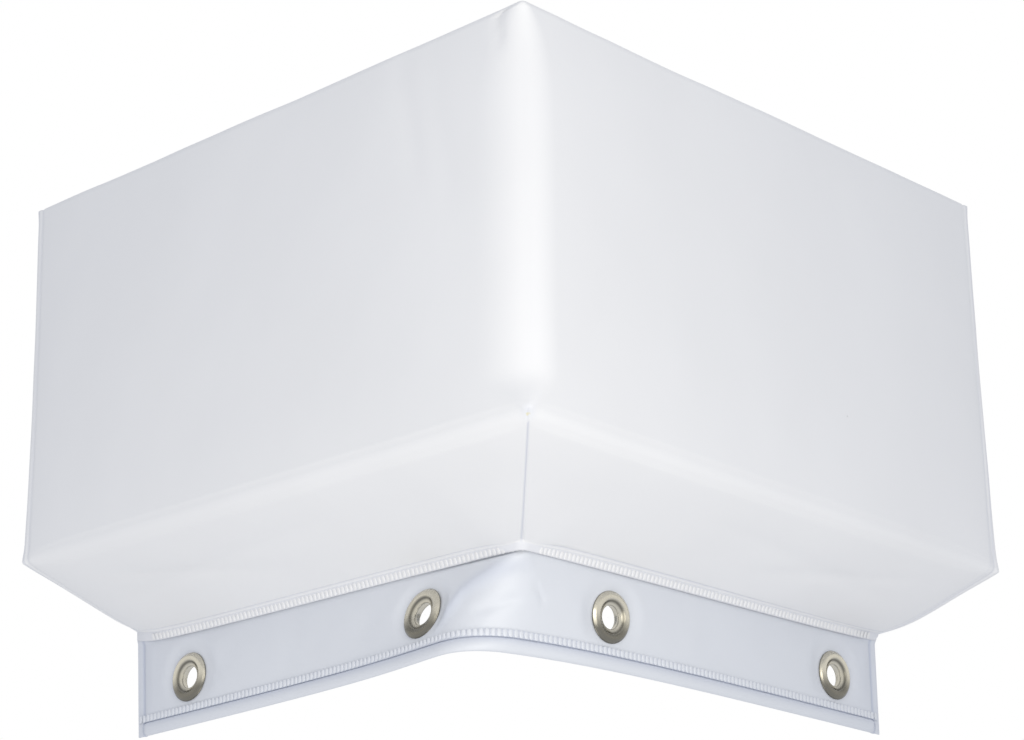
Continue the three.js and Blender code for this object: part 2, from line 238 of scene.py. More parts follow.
def ease(share, power):
    """0 to 1, with fine steps at both ends."""
    return share**power / (share**power + (1 - share) ** power)


def line(start, end, steps, power=1):
    """Points from a start to an end, finer toward both where the power is over 1."""
    share = ease(np.linspace(0, 1, steps), power)[:, None]
    return np.array(start) * (1 - share) + np.array(end) * share


def curve(start, control, end, steps):
    """Points of a curve that leaves and arrives along the lines to its control point."""
    share = np.linspace(0, 1, steps)[:, None]
    start, control, end = (np.array(p, float) for p in (start, control, end))
    return (1 - share) ** 2 * start + 2 * share * (1 - share) * control + share**2 * end


def bump(distance, width):
    """A smooth hump of height 1 over a distance."""
    return np.exp(-((distance / width) ** 2))


def smooth_step(value, low, high):
    """0 below the low value, 1 above the high one and a soft rise between them."""
    share = np.clip((value - low) / (high - low), 0, 1)
    return share * share * (3 - 2 * share)


def wander(points, size, offset):
    """Slow, seeded waves of about plus or minus 1 over the points."""
    flat = points.reshape(-1, 3) / size + offset
    values = [noise.noise(Vector(p)) for p in flat]
    return np.array(values).reshape(points.shape[:-1])


def on_wing(points):
    """Where points lie on their wing: along it, out from the dock and up, and if it is the right wing."""
    x = points[..., 0]
    y = points[..., 1]
    return np.maximum(x, y), -np.minimum(x, y), points[..., 2], x > y


def grid_normals(grid):
    """Unit normals of a grid of points."""
    down = np.gradient(grid, axis=0)
    across = np.gradient(grid, axis=1)
    normals = np.cross(down, across)
    return normals / np.maximum(np.linalg.norm(normals, axis=2, keepdims=True), 1e-12)


def grid_faces(rows, columns, wrap_rows=False, wrap_columns=False):
    """Quads between neighbouring rows and columns; a wrap joins the last one to the first."""
    faces = []
    for row in range(rows if wrap_rows else rows - 1):
        below = row * columns
        above = ((row + 1) % rows) * columns
        for column in range(columns if wrap_columns else columns - 1):
            ahead = (column + 1) % columns
            faces.append((below + column, below + ahead, above + ahead, above + column))
    return faces


def make_piece(name, points, faces, material):
    """A smooth mesh object at the origin, with its place in its mesh."""
    mesh = bpy.data.meshes.new(name)
    mesh.from_pydata(np.asarray(points).reshape(-1, 3).tolist(), [], faces)
    mesh.polygons.foreach_set("use_smooth", [True] * len(mesh.polygons))
    mesh.materials.append(material)
    mesh.update()
    piece = bpy.data.objects.new(name, mesh)
    bpy.context.scene.collection.objects.link(piece)
    return piece


def mark(piece, name, values):
    """Stores a value for each vertex, for the material."""
    layer = piece.data.attributes.new(name, "FLOAT", "POINT")
    layer.data.foreach_set("value", np.asarray(values, dtype=np.float32).ravel())


def face_out(piece):
    """Turns the faces of a closed mesh outwards."""
    work = bmesh.new()
    work.from_mesh(piece.data)
    bmesh.ops.remove_doubles(work, verts=work.verts, dist=0.001 * MM)
    bmesh.ops.recalc_face_normals(work, faces=work.faces)
    work.to_mesh(piece.data)
    work.free()


def bake(piece):
    """Replaces the mesh by what its modifiers make of it, and removes them."""
    graph = bpy.context.evaluated_depsgraph_get()
    mesh = bpy.data.meshes.new_from_object(piece.evaluated_get(graph))
    mesh.name = piece.name
    piece.modifiers.clear()
    piece.data = mesh
    return piece


def thicken(piece, thickness):
    """Gives a sheet its thickness, inwards from its faces."""
    solid = piece.modifiers.new("thickness", "SOLIDIFY")
    solid.thickness = thickness
    solid.offset = -1
    return bake(piece)


def dress(piece, slot_name, *nodes):
    """The piece rides on the body and stands for its CAD nodes, which are hidden; slot_name is not used."""
    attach(piece, BODY)
    if nodes:
        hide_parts(*nodes)
    return piece


# Materials

def add(tree, kind, inputs=None, **settings):
    """Adds a node with its settings, and sets or links its inputs."""
    node = tree.nodes.new(kind)
    for name, value in settings.items():
        setattr(node, name, value)
    for name, value in (inputs or {}).items():
        if isinstance(value, bpy.types.NodeSocket):
            tree.links.new(value, node.inputs[name])
        else:
            node.inputs[name].default_value = value
    return node


def new_material(name):
    """An empty node material and its tree."""
    material = bpy.data.materials.new(name)
    material.use_nodes = True
    material.node_tree.nodes.clear()
    return material, material.node_tree


def finish_material(tree, inputs):
    """Gives the tree its surface."""
    shader = add(tree, "ShaderNodeBsdfPrincipled", inputs)
    add(tree, "ShaderNodeOutputMaterial", {"Surface": shader.outputs["BSDF"]})


def tinted(base, factor):
    """A colour made lighter or darker, with full alpha."""
    return tuple(min(c * factor, 1.0) for c in base[:3]) + (1.0,)


def speck(tree, places, spot, radius):
    """1 on a small ragged spot and 0 around it."""
    blur = 1.2 * radius
    away = add(
        tree, "ShaderNodeVectorMath", {0: places, 1: [v * MM for v in spot]}, operation="DISTANCE"
    ).outputs["Value"]
    ragged = add(
        tree, "ShaderNodeTexNoise", {"Vector": places, "Scale": 1 / (0.9 * MM), "Detail": 1.0}
    ).outputs["Fac"]
    edge = add(tree, "ShaderNodeMath", {0: ragged, 1: blur, 2: away}, operation="MULTIPLY_ADD").outputs[0]
    limits = {"From Min": blur, "From Max": 1.7 * radius, "To Min": 1.0, "To Max": 0.0}
    return add(tree, "ShaderNodeMapRange", {"Value": edge, **limits}).outputs["Result"]


def vinyl_material(name, base, roughness, spots=()):
    """Calendered plasticised PVC sheet: satin, with a fine leather grain and a slow cloudy tone."""
    material, tree = new_material(name)
    places = add(tree, "ShaderNodeTexCoord").outputs["Object"]
    clouds = add(
        tree,
        "ShaderNodeTexNoise",
        {"Vector": places, "Scale": 1 / (70 * MM), "Detail": 3.0, "Roughness": 0.5},
    ).outputs["Fac"]
    middle = {"From Min": 0.3, "From Max": 0.7}
    tone = add(
        tree, "ShaderNodeMapRange", {"Value": clouds, **middle, "To Min": 0.0, "To Max": 1.0}
    ).outputs["Result"]
    deeper = tinted(base, 0.985)
    paler = tinted(base, 1.01)
    skin = add(tree, "ShaderNodeMix", {0: tone, 6: deeper, 7: paler}, data_type="RGBA").outputs[2]
    # Where the die pressed it the vinyl is thinner, and looks a little darker and bluer; the same weld mark
    # also paints shade into grooves and folds, round the dart's dimple, and darker toward the strip's ends
    pressed = add(tree, "ShaderNodeAttribute", attribute_name="weld").outputs["Fac"]
    weld_shade_and_specks = [(pressed, "AEB6CC")]
    weld_shade_and_specks += [(speck(tree, places, spot, radius), hex_value) for hex_value, spot, radius in spots]
    for share, hex_value in weld_shade_and_specks:
        skin = add(
            tree, "ShaderNodeMix", {0: share, 6: skin, 7: linear(hex_value)}, data_type="RGBA"
        ).outputs[2]
    smear = add(
        tree,
        "ShaderNodeTexNoise",
        {"Vector": places, "Scale": 1 / (18 * MM), "Detail": 4.0, "Roughness": 0.6},
    ).outputs["Fac"]
    gloss = add(
        tree,
        "ShaderNodeMapRange",
        {"Value": smear, **middle, "To Min": roughness - 0.05, "To Max": roughness + 0.06},
    ).outputs["Result"]
    # Such vinyl's grain is about 0.3 mm; it is drawn at 0.7 mm so that it shows at this distance
    grain = add(
        tree, "ShaderNodeTexVoronoi", {"Vector": places, "Scale": 1 / (0.7 * MM)}, feature="SMOOTH_F1"
    ).outputs["Distance"]
    grained = add(
        tree, "ShaderNodeBump", {"Height": grain, "Strength": 0.12, "Distance": 0.05 * MM}
    ).outputs["Normal"]
    ripples = add(
        tree, "ShaderNodeTexNoise", {"Vector": places, "Scale": 1 / (9 * MM), "Detail": 2.0}
    ).outputs["Fac"]
    rippled = add(
        tree,
        "ShaderNodeBump",
        {"Height": ripples, "Normal": grained, "Strength": 0.25, "Distance": 0.25 * MM},
    ).outputs["Normal"]
    shine = {"Roughness": gloss, "IOR": 1.53, "Specular IOR Level": 0.5}
    finish_material(tree, {"Base Color": skin, "Normal": rippled, **shine})
    return material


def foam_material(base):
    """Closed-cell polyethylene foam: matt, with small cells cut open at its skin."""
    material, tree = new_material("closed_cell_polyethylene_foam")
    places = add(tree, "ShaderNodeTexCoord").outputs["Object"]
    cells = add(
        tree, "ShaderNodeTexVoronoi", {"Vector": places, "Scale": 1 / (1.5 * MM)}
    ).outputs["Distance"]
    pitted = add(
        tree, "ShaderNodeBump", {"Height": cells, "Strength": 0.5, "Distance": 0.3 * MM}
    ).outputs["Normal"]
    skin = add(tree, "ShaderNodeMix", {0: cells, 6: tinted(base, 0.9), 7: base}, data_type="RGBA").outputs[2]
    finish_material(tree, {"Base Color": skin, "Roughness": 0.95, "Normal": pitted})
    return material


def nickel_material(name, base):
    """Nickel-plated brass, pressed and tumbled: bright but a little hazy, with painted shade in an eyelet's
    throat and round its valley ring and foot, and a painted dark reflection on the lower half of its dome.
    """
    material, tree = new_material(name)
    places = add(tree, "ShaderNodeTexCoord").outputs["Object"]
    recess = add(tree, "ShaderNodeAttribute", attribute_name="recess").outputs["Fac"]
    haze = add(
        tree,
        "ShaderNodeTexNoise",
        {"Vector": places, "Scale": 1 / (2.5 * MM), "Detail": 4.0, "Roughness": 0.6},
    ).outputs["Fac"]
    hazy = tinted(base, 0.88)
    bright = tinted(base, 1.08)
    dark = tinted(base, 0.26)
    plating = add(tree, "ShaderNodeMix", {0: haze, 6: hazy, 7: bright}, data_type="RGBA").outputs[2]
    # Painted shade and a painted dark reflection darken the plating where they are marked
    shaded_plating = add(tree, "ShaderNodeMix", {0: recess, 6: plating, 7: dark}, data_type="RGBA").outputs[2]
    gloss = add(
        tree,
        "ShaderNodeMapRange",
        {"Value": haze, "From Min": 0.3, "From Max": 0.7, "To Min": 0.2, "To Max": 0.34},
    ).outputs["Result"]
    dents = add(
        tree, "ShaderNodeBump", {"Height": haze, "Strength": 0.06, "Distance": 0.1 * MM}
    ).outputs["Normal"]
    finish_material(tree, {"Base Color": shaded_plating, "Metallic": 1.0, "Roughness": gloss, "Normal": dents})
    return material


# The cushion's shape

def arc(corner, before, after, radius, steps):
    """Points of a rounded corner of an outline, between its two straight sides."""
    corner, before, after = (np.array(p, float) for p in (corner, before, after))
    back = (before - corner) / np.linalg.norm(before - corner)
    ahead = (after - corner) / np.linalg.norm(after - corner)
    half = math.acos(float(np.clip(back @ ahead, -1, 1))) / 2
    reach = radius / math.tan(half)
    return curve(corner + back * reach, corner, corner + ahead * reach, steps)


def cover_section(c, fold_radius, top_radius):
    """Outline of the cover in (out, up), from the seam band to the top, with the part of each row."""
    foot = (c.band_foot, 0)
    band_top = np.array([c.band_foot + c.band_lean, c.band_height])
    fold = (BODY_DEPTH, c.rise)
    top = (BODY_DEPTH, BODY_TOP)
    back = (0, BODY_TOP)
    fold_arc = arc(fold, band_top, top, fold_radius, 9)
    top_arc = arc(top, fold, back, top_radius, 8)
    margin_end = band_top + (fold_arc[0] - band_top) * 0.1
    rows = []
    for part, points in (
        ("band", line(foot, band_top, 6)),
        ("underside", line(band_top, margin_end, 16)),
        ("underside", line(margin_end, fold_arc[0], 26, 1.2)),
        ("fold", fold_arc),
        ("face", line(fold_arc[-1], top_arc[0], 44, 1.5)),
        ("top_fold", top_arc),
        ("top", line(top_arc[-1], back, 18, 1.5)),
    ):
        rows += [(part, *point) for point in (points if not rows else points[1:])]
    parts = np.array([row[0] for row in rows])
    outline = np.array([row[1:] for row in rows], float)
    return parts, outline


def round_the_corner(outline, reach_right, reach_left, wing_steps, corner_steps):
    """Carries an outline of (out, up) from the right wing's end round the corner to the left wing's end."""
    out = outline[:, 0][:, None]
    share = ease(np.linspace(0, 1, wing_steps), 1.6)[None, :]
    turn = np.linspace(0, 1, corner_steps)[None, 1:-1]
    along_right = WING_END - (WING_END + out - reach_right[:, None]) * share
    along_left = WING_END - (WING_END + out - reach_left[:, None]) * share[:, ::-1]
    right = np.stack([along_right, np.broadcast_to(-out, along_right.shape)], axis=2)
    left = np.stack([np.broadcast_to(-out, along_left.shape), along_left], axis=2)
    bend = np.stack(
        [reach_right[:, None] * (1 - turn) ** 2 - out, reach_left[:, None] * turn**2 - out], axis=2
    )
    plan = np.concatenate([right, bend, left], axis=1)
    up = np.broadcast_to(outline[:, 1][:, None, None], plan.shape[:2] + (1,))
    return np.concatenate([plan, up], axis=2)


def face_height(c, up):
    """How high a point lies between an outer face's lower fold and its top, from 0 to 1."""
    return np.clip((up - c.rise) / (BODY_TOP - c.rise), 0, 1)


def settle(points):
    """The soft part sags, curls and leans a little: every piece moves with it, so that none come apart."""
    c = bpy.context.scene.bumper_cushion
    f = bpy.context.scene.bumper_flange
    sag = bpy.context.scene.bumper_sag
    along, _, up, right = on_wing(points)
    far = np.maximum(WING_END - along, 0)
    share = np.clip((along + BODY_DEPTH) / (WING_END + BODY_DEPTH), 0, 1)
    height = face_height(c, up)
    above = smooth_step(up, 0, c.band_height)
    moved = points.copy()
    # The seam hangs at the corner and curls up to the ends, and what lies close to it follows
    seam = sag.seam_curl * np.exp(-far / sag.curl_reach)
    seam += np.where(right, sag.right_tip, sag.left_tip) * np.exp(-far / sag.tip_reach)
    seam -= sag.seam_sag * np.exp(-np.maximum(along, 0) / sag.sag_reach)
    by_seam = np.exp(-np.maximum(up - c.band_height, 0) / np.where(right, sag.follow_right, sag.follow_left))
    by_seam *= 1 - smooth_step(-up, 0, sag.follow_down)
    # Each end is tilted, and drawn together or spread
    tilt = np.where(right, sag.top_tilt, -sag.top_tilt) * height
    lift = np.where(right, -sag.right_spread, sag.left_squeeze) * (1 - height)
    moved[..., 2] += seam * by_seam + share * (tilt + lift) * (1 - by_seam) * above
    moved[..., 0] += np.where(right, share * sag.right_rake * (1 - 2 * height) * above, 0)
    # The top corner's tip stands up, and the seam band dips at the dock's corner
    peak = np.exp(-(along + BODY_DEPTH) / sag.peak_reach) * smooth_step(height, 0.85, 1)
    moved[..., 2] += sag.top_peak * peak
    moved[..., 2] -= sag.corner_dip * bump(np.maximum(along, 0), sag.dip_reach) * above * by_seam
    # The flange stops short of the cushion's ends
    near_end = np.exp(-far / sag.end_reach)
    below = np.clip(-up / FLANGE_DROP, 0, 1)
    low = 1 - smooth_step(up, c.band_height, 3 * c.band_height)
    moved[..., 1] -= np.where(right, 0, f.left_slant) * below * near_end
    moved[..., 0] -= np.where(right, f.right_slant, 0) * low * near_end
    return moved


def line_shares(a, b, start, end):
    """For points (a, b) on a face: the share of the way along a line, and the distance to its left."""
    start, end = np.array(start), np.array(end)
    run = end - start
    reach = np.linalg.norm(run)
    run = run / reach
    share = ((a - start[0]) * run[0] + (b - start[1]) * run[1]) / reach
    across = (b - start[1]) * run[0] - (a - start[0]) * run[1]
    return share, across


def crease(a, b, start, end, width):
    """A soft groove of depth 1 along a straight line on a face, fading at its tips."""
    share, across = line_shares(a, b, start, end)
    tips = smooth_step(share, -0.15, 0.25) * (1 - smooth_step(share, 0.75, 1.15))
    return -bump(across, width) * tips


def corner_reaches(c, parts, outline):
    """Where each row starts to turn to the corner on both sides: wide up the faces, tight at both tips."""
    mitre_reach = 0.7 * MM
    under_top = 10 * MM
    over_fold = 16 * MM
    share = outline[:, 0] / BODY_DEPTH
    up = outline[:, 1]
    widened = 1 - np.exp(-np.maximum(BODY_TOP - up, 0) / under_top)
    widened *= smooth_step(up - c.rise, 0, over_fold)
    mitre = mitre_reach + (c.corner_tip - mitre_reach) * share**6
    below = mitre + (c.seam_corner - mitre_reach) * (1 - share) ** 6
    reaches = []
    for reach in (c.corner_right, c.corner_left):
        face = c.corner_tip + (reach - c.corner_tip) * widened
        row = np.where(np.isin(parts, ["underside", "band"]), below, mitre)
        reaches.append(np.where(np.isin(parts, ["face", "fold"]), face, row))
    return reaches


def cover_relief(c, parts, grid):
    """How far each point of the cover stands out from its plain outline."""
    along, out, up, right = on_wing(grid)
    row = parts[:, None]
    relief = crown_relief(c, row, along, out, up)
    relief += end_relief(c, row, along, out)
    relief += margin_relief(c, row, right, along, out)
    relief += dart_relief(c, row, along, out, up)
    relief += face_creases(row, right, along, out, up)
    # Slow waves in the skin, large and small
    calm = np.where(row == "band", 0, smooth_step(up, c.band_height, 2 * c.band_height))
    for strength, size, offset in ((1, 60 * MM, 3.1), (0.35, 22 * MM, 9.7)):
        relief += calm * strength * c.unevenness * wander(grid, size, offset)
    return relief


def crown_relief(c, row, along, out, up):
    """The foam pushes the skin out, less toward the corner and the ends."""
    corner_fade = 22 * MM
    end_fade = 14 * MM
    top_share = 0.8
    band_top = c.band_foot + c.band_lean
    height = face_height(c, up)
    reach = np.clip((out - band_top) / (BODY_DEPTH - band_top), 0, 1)
    from_corner = 1 - np.exp(-np.maximum(along + out, 0) / corner_fade)
    arch = np.sin(math.pi * np.clip(out / BODY_DEPTH, 0, 1))
    crown = np.where(row == "face", (1 - (2 * height - 1) ** 4) * from_corner, 0)
    crown += np.where(row == "underside", 1 - (2 * reach - 1) ** 4, 0)
    crown += np.where(row == "top", top_share * arch, 0)
    return c.crown * crown * (1 - np.exp(-(WING_END - along) / end_fade))


def end_relief(c, row, along, out):
    """The weld at each end: a sunken line with a flat lip outside it, and the band sunk to the strip."""
    sink_fade = 9 * MM
    groove_width = 0.6 * MM
    lip_swell = 0.1 * MM
    strip_front = 2.0 * MM
    band_fade = 6 * MM
    pinch = 1.6 * MM
    pinch_fade = 4 * MM
    far = WING_END - along
    margin = out - c.band_foot - c.band_lean
    lip = lip_swell * bump(far - 0.5 * c.lip, 0.45 * c.lip)
    lip -= c.sink * np.exp(-far / sink_fade) + c.groove * bump(far - c.lip, groove_width)
    lip -= np.where(row == "underside", pinch * np.exp(-(far + margin) / pinch_fade), 0)
    return np.where(row == "band", (strip_front - out) * np.exp(-far / band_fade), lip)


def margin_relief(c, row, right, along, out):
    """The fine step where the margin is folded over the seam band, with a second one on the right."""
    depth = 0.55 * MM
    width = 0.45 * MM
    second_margin = 2.4 * MM
    second_depth = 0.35 * MM
    second_width = 0.4 * MM
    slant = 0.008
    margin = out - c.band_foot - c.band_lean
    step = depth * bump(margin - c.margin, width)
    second = second_depth * bump(margin - second_margin + slant * along, second_width)
    return np.where(row == "underside", -from_dart(along) * (step + np.where(right, second, 0)), 0)


def from_dart(along):
    """0 beside the dart's foot and 1 from there on, as the margin's step runs out before it."""
    return smooth_step(along, 2 * MM, 14 * MM)


def dart_relief(c, row, along, out, up):
    """The weld that closes the dart, and the dimple at its tip with puckers on both sides."""
    dart = bpy.context.scene.bumper_dart
    from_mitre = (along + out) / math.sqrt(2)
    weld = dart.depth * bump(from_mitre, dart.width) + dart.hollow * bump(from_mitre, dart.hollow_width)
    relief = -np.where((row == "underside") | (row == "top"), weld, 0)
    tip_across = along + BODY_DEPTH
    tip_up = up - c.rise
    relief -= dart.dimple * bump(np.hypot(tip_across, tip_up), dart.dimple_width)
    round_tip = np.isin(row, ["face", "fold", "underside"])
    fading = np.where(round_tip, np.exp(-tip_across / dart.pucker_reach), 0)
    spread = 0.12
    for lean in (-0.75, -0.2, 0.35):
        ray = tip_up - lean * tip_across
        relief -= dart.pucker * fading * bump(ray, dart.pucker_width + spread * tip_across)
    return relief


def face_creases(row, right, along, out, up):
    """The few creases that show in the skin."""
    left_face = (row == "face") & ~right
    total = np.zeros(along.shape)
    # A pinch beside the top corner, and slack folds along the left face: from and to (along, up),
    # with width and depth, in millimetres
    for start, end, width, depth in (
        ((-45, 167), (-47, 152), 2.2, 0.9),
        ((1, 165), (-10, 112), 5, 0.4),
        ((-14, 160), (-24, 100), 6, 0.3),
    ):
        fold = crease(along / MM, up / MM, start, end, width)
        total += np.where(left_face, depth * MM * fold, 0)
    # Shallow folds that run along the underside toward both ends: from and to (along, out)
    for start, end, width, depth in (((60, 38), (175, 26), 3.5, 0.4), ((95, 20), (170, 42), 3.0, 0.35)):
        fold = crease(along / MM, out / MM, start, end, width)
        total += np.where(row == "underside", depth * MM * fold, 0)
    return total


def stretch_ends(c, grid):
    """The corners of each end stand out as small ears, and the edge between them is drawn in."""
    along, _, up, right = on_wing(grid)
    height = face_height(c, up)
    ear_height = 4 * MM
    ear_fade = 12 * MM
    top_share = 0.6
    ears = bump(up - c.rise, ear_height) + top_share * bump(up - BODY_TOP, ear_height)
    drawn_in = 0.6 * (1 - (2 * height - 1) ** 2) * (up > c.rise)
    pull = c.ear * (ears - drawn_in) * np.exp(-np.maximum(WING_END - along, 0) / ear_fade)
    return grid + pull[..., None] * np.where(right[..., None], [1.0, 0, 0], [0, 1.0, 0])


# Operators

class BUMPER_OT_cover(bpy.types.Operator):
    """Make the outer cover, one welded sheet over the foam"""

    bl_idname = "bumper.cover"
    bl_label = "Outer cover"

    def execute(self, context):
        c = context.scene.bumper_cushion
        parts, soft = cover_section(c, c.fold, c.top_fold)
        tight = cover_section(c, c.end_fold, c.end_fold)[1]
        grids = [round_the_corner(o, *corner_reaches(c, parts, o), 120, 24) for o in (soft, tight)]
        far = WING_END - np.maximum(grids[0][..., 0], grids[0][..., 1])
        tightened = 7 * MM
        near_end = np.exp(-np.maximum(far, 0) / tightened)[..., None]
        grid = grids[0] * (1 - near_end) + grids[1] * near_end
        relief = cover_relief(c, parts, grid)
        grid = grid + grid_normals(grid) * relief[..., None]
        grid = settle(stretch_ends(c, grid))
        # Dirt specks, and the yellowed dimple at the dart's tip
        spots = (
            ("DDD8BE", (-54.9, -54.9, 21.6), 0.8 * MM),
            ("8F8F92", (-15, 104, 6.8), 0.45 * MM),
            ("9A9A9C", (-12.5, 102.5, 6.2), 0.4 * MM),
            ("A5A29C", (108.7, -57.8, 58.6), 0.4 * MM),
        )
        material = vinyl_material("satin_marine_vinyl", tuple(c.vinyl), 0.6, spots)
        rows, columns = grid.shape[:2]
        faces = [face[::-1] for face in grid_faces(rows, columns)]
        piece = make_piece("cover", grid, faces, material)
        mark(piece, "weld", self.weld_and_shade_marks(c, parts, grid))
        thicken(piece, c.sheet)
        dress(piece, "cover_vinyl", "outer_cover")
        return {"FINISHED"}

    def weld_and_shade_marks(self, c, parts, grid):
        """How dark each point is painted, from 0 to 1: the weld lines and band where the die pressed, with
        painted shade in their grooves, and painted shade round the dimple at the dart's tip.
        """
        line_width = 0.4 * MM
        lip_width = 0.5 * MM
        dimple_width = 3 * MM
        along, out, up, _ = on_wing(grid)
        far = WING_END - along
        row = parts[:, None]
        underside = row == "underside"
        margin = out - c.band_foot - c.band_lean
        # The strengths are given
        lip = 0.15 * bump(far - c.lip, lip_width) + 0.22 * bump(far, lip_width)
        # Painted shade round the dimple at the dart's tip, which tones down its highlight
        tip = 0.6 * bump(np.hypot(along + BODY_DEPTH, up - c.rise), dimple_width)
        dart = 0.4 * bump((along + out) / math.sqrt(2), line_width)
        step = 0.35 * bump(margin - c.margin, line_width) * from_dart(along)
        marks = np.maximum(lip, tip)
        marks = np.maximum(marks, np.where(underside | (row == "top"), dart, 0))
        marks = np.maximum(marks, np.where(underside, step, 0))
        return np.maximum(marks, np.where(row == "band", 0.2, 0))


def strip_place(f, along_share, drop, wing):
    """Line of the strip on one wing, at a drop: points and outward normals, as flat vectors."""
    share = np.clip(drop / FLANGE_DROP, 0, 1)
    reach = f.bend_start + f.bend_reach * share + f.bend_middle * np.sin(math.pi * share)
    if wing == "right":
        start = reach - f.bend_out * share
        along = start + (WING_END - start) * along_share
        return right_leg(f, along, share)
    start = reach + f.bend_along * share
    along = start + (WING_END - start) * along_share
    return left_leg(f, along, share)


def right_leg(f, along, share):
    """The right wing's stretch: it comes out of the bend and settles on its dock face."""
    tuck = f.bend_along * share * np.exp(-(along + f.bend_out * share) / f.tuck)
    points = np.stack([along, tuck], axis=-1)
    normals = np.stack([-tuck / f.tuck, -np.ones_like(tuck)], axis=-1)
    return points, normals / np.linalg.norm(normals, axis=-1, keepdims=True)


def left_leg(f, along, share):
    """The left wing's stretch: it comes out of the bend and swings back to its dock face."""
    offset = (along - f.bend_along * share) / f.swing
    swing = f.bend_out * share / (1 + offset**2)
    lean = 2 * offset * swing / (1 + offset**2) / f.swing
    points = np.stack([-swing, along], axis=-1)
    normals = np.stack([-np.ones_like(lean), lean], axis=-1)
    return points, normals / np.linalg.norm(normals, axis=-1, keepdims=True)


def strip_line(f, drop, leg_steps, bend_steps):
    """The line of the strip at each drop, from the right wing's end round the bend to the left wing's."""
    drop = np.asarray(drop, float)[:, None]
    share = np.clip(drop / FLANGE_DROP, 0, 1)
    run = ease(np.linspace(1, 0, leg_steps), 1.5)[None, :]
    right, right_normal = strip_place(f, run, drop, "right")
    left, left_normal = strip_place(f, run[:, ::-1], drop, "left")
    turn = np.linspace(0, 1, bend_steps)[None, 1:-1, None]
    corner = np.concatenate([-f.bend_out * share, f.bend_along * share], axis=1)[:, None, :]
    start = right[:, -1:, :]
    end = left[:, :1, :]
    bend = (1 - turn) ** 2 * start + 2 * turn * (1 - turn) * corner + turn**2 * end
    edges = (right_normal[:, -1:], left_normal[:, :1])
    angles = [np.arctan2(n[..., 1], n[..., 0]) % (2 * math.pi) for n in edges]
    angle = angles[0] + (angles[1] - angles[0]) * turn[..., 0]
    bend_normal = np.stack([np.cos(angle), np.sin(angle)], axis=-1)
    points = np.concatenate([right, bend, left], axis=1)
    normals = np.concatenate([right_normal, bend_normal, left_normal], axis=1)
    return points, normals


def flange_front(f, c):
    """Distance from the dock face to the strip's front."""
    return f.setback + 2 * c.sheet


def flange_section(f, c):
    """Closed outline of the strip in (out, up), with the part of each row."""
    front = flange_front(f, c)
    gap = f.setback
    neck = f.hem - FLANGE_DROP
    band_edge = neck + f.band_height
    proud = front + f.band_swell
    roll = f.hem / 2 - FLANGE_DROP
    liner = c.sheet + gap
    round_foot = (front / 2 + gap, -FLANGE_DROP)
    belly = front + f.hem_swell
    groove = (front - f.hem_neck, neck)
    band_low = (proud, neck + 0.5 * f.band_swell)
    band_high = (proud, band_edge - f.band_swell)
    rows = []
    for part, points in (
        ("back", line((gap, -gap), (gap, roll), 26)),
        ("hem", curve((gap, roll), (gap, -FLANGE_DROP), round_foot, 7)),
        ("hem", curve(round_foot, (belly, -FLANGE_DROP), (belly, roll), 7)),
        ("hem", curve((belly, roll), (belly, neck), groove, 8)),
        ("band", line(groove, band_low, 4)),
        ("band", line(band_low, band_high, 5)),
        ("band", line(band_high, (front, band_edge), 4)),
        ("panel", line((front, band_edge), (front, -gap), 34)),
        ("tongue", line((front, -gap), (front, f.tongue), 4)),
        ("tongue", line((front, f.tongue), (liner, f.tongue), 3)),
        ("tongue", line((liner, f.tongue), (liner, -gap), 4)),
        ("tongue", line((liner, -gap), (gap, -gap), 3)),
    ):
        rows += [(part, *point) for point in points[:-1]]
    parts = np.array([row[0] for row in rows])
    return parts, np.array([row[1:] for row in rows], float)


def grommet_seats(f, c, g):
    """Centre and outward direction of each grommet, on the strip's front."""
    front = flange_front(f, c)

    def on_front(wing, along, drop):
        share = np.array([drop / FLANGE_DROP])
        leg = right_leg if wing == "right" else left_leg
        points, normals = leg(f, np.array([along]), share)
        flat = points[0] + normals[0] * front
        return Vector((flat[0], flat[1], -drop))

    seats = {}
    step = 1 * MM
    for name, wing, along in (
        ("left_outer", "left", WING_END - g.left_setback),
        ("left_inner", "left", g.left_near),
        ("right_inner", "right", g.right_near),
        ("right_outer", "right", WING_END - g.right_setback),
    ):
        across = on_front(wing, along + step, g.drop) - on_front(wing, along - step, g.drop)
        down = on_front(wing, along, g.drop + step) - on_front(wing, along, g.drop - step)
        outward = across.cross(down).normalized()
        if outward.dot(Vector((-1, -1, 0))) < 0:
            outward.negate()
        seats[name] = (on_front(wing, along, g.drop), outward)
    return seats


def lathe(name, profile, seat, material, sides=96):
    """Turns a closed profile of (radius, height) round a seat's outward direction."""
    centre, outward = seat
    turn = Vector((0, 0, 1)).rotation_difference(outward)
    profile = np.array(profile, float)
    angles = np.linspace(0, 2 * math.pi, sides, endpoint=False)
    points = []
    for radius, height in profile:
        for angle in angles:
            point = Vector((radius * math.cos(angle), radius * math.sin(angle), height))
            points.append(turn @ point + centre)
    faces = grid_faces(len(profile), sides, wrap_rows=True, wrap_columns=True)
    piece = make_piece(name, np.array([tuple(p) for p in points]), faces, material)
    face_out(piece)
    return piece


def slack_fold(flat):
    """Distance below the line where the slack strip folds up to its bend, and where along it."""
    run = flat[..., 1] - flat[..., 0]
    # The line falls as it runs from the corner along the left wing
    run_marks = np.array([3, 17, 24, 29, 35, 43]) * MM
    drop_marks = np.array([4.5, 9, 12, 17, 20.5, 26]) * MM
    # It slants, so that the distance across it is less than the drop
    slant = 0.75
    below = (-flat[..., 2] - np.interp(run, run_marks, drop_marks)) * slant
    along = smooth_step(run, -6 * MM, 10 * MM) * (1 - smooth_step(run, 36 * MM, 46 * MM))
    return below, along


def ends_free(far, f):
    """0 on the flat weld at each end of the strip and 1 between them."""
    return smooth_step(far, f.border, f.border + 1 * MM)


# Round each rim the loose strip rises from its pressed seat between these distances
SEAT_RUN = (0.6 * MM, 7 * MM)


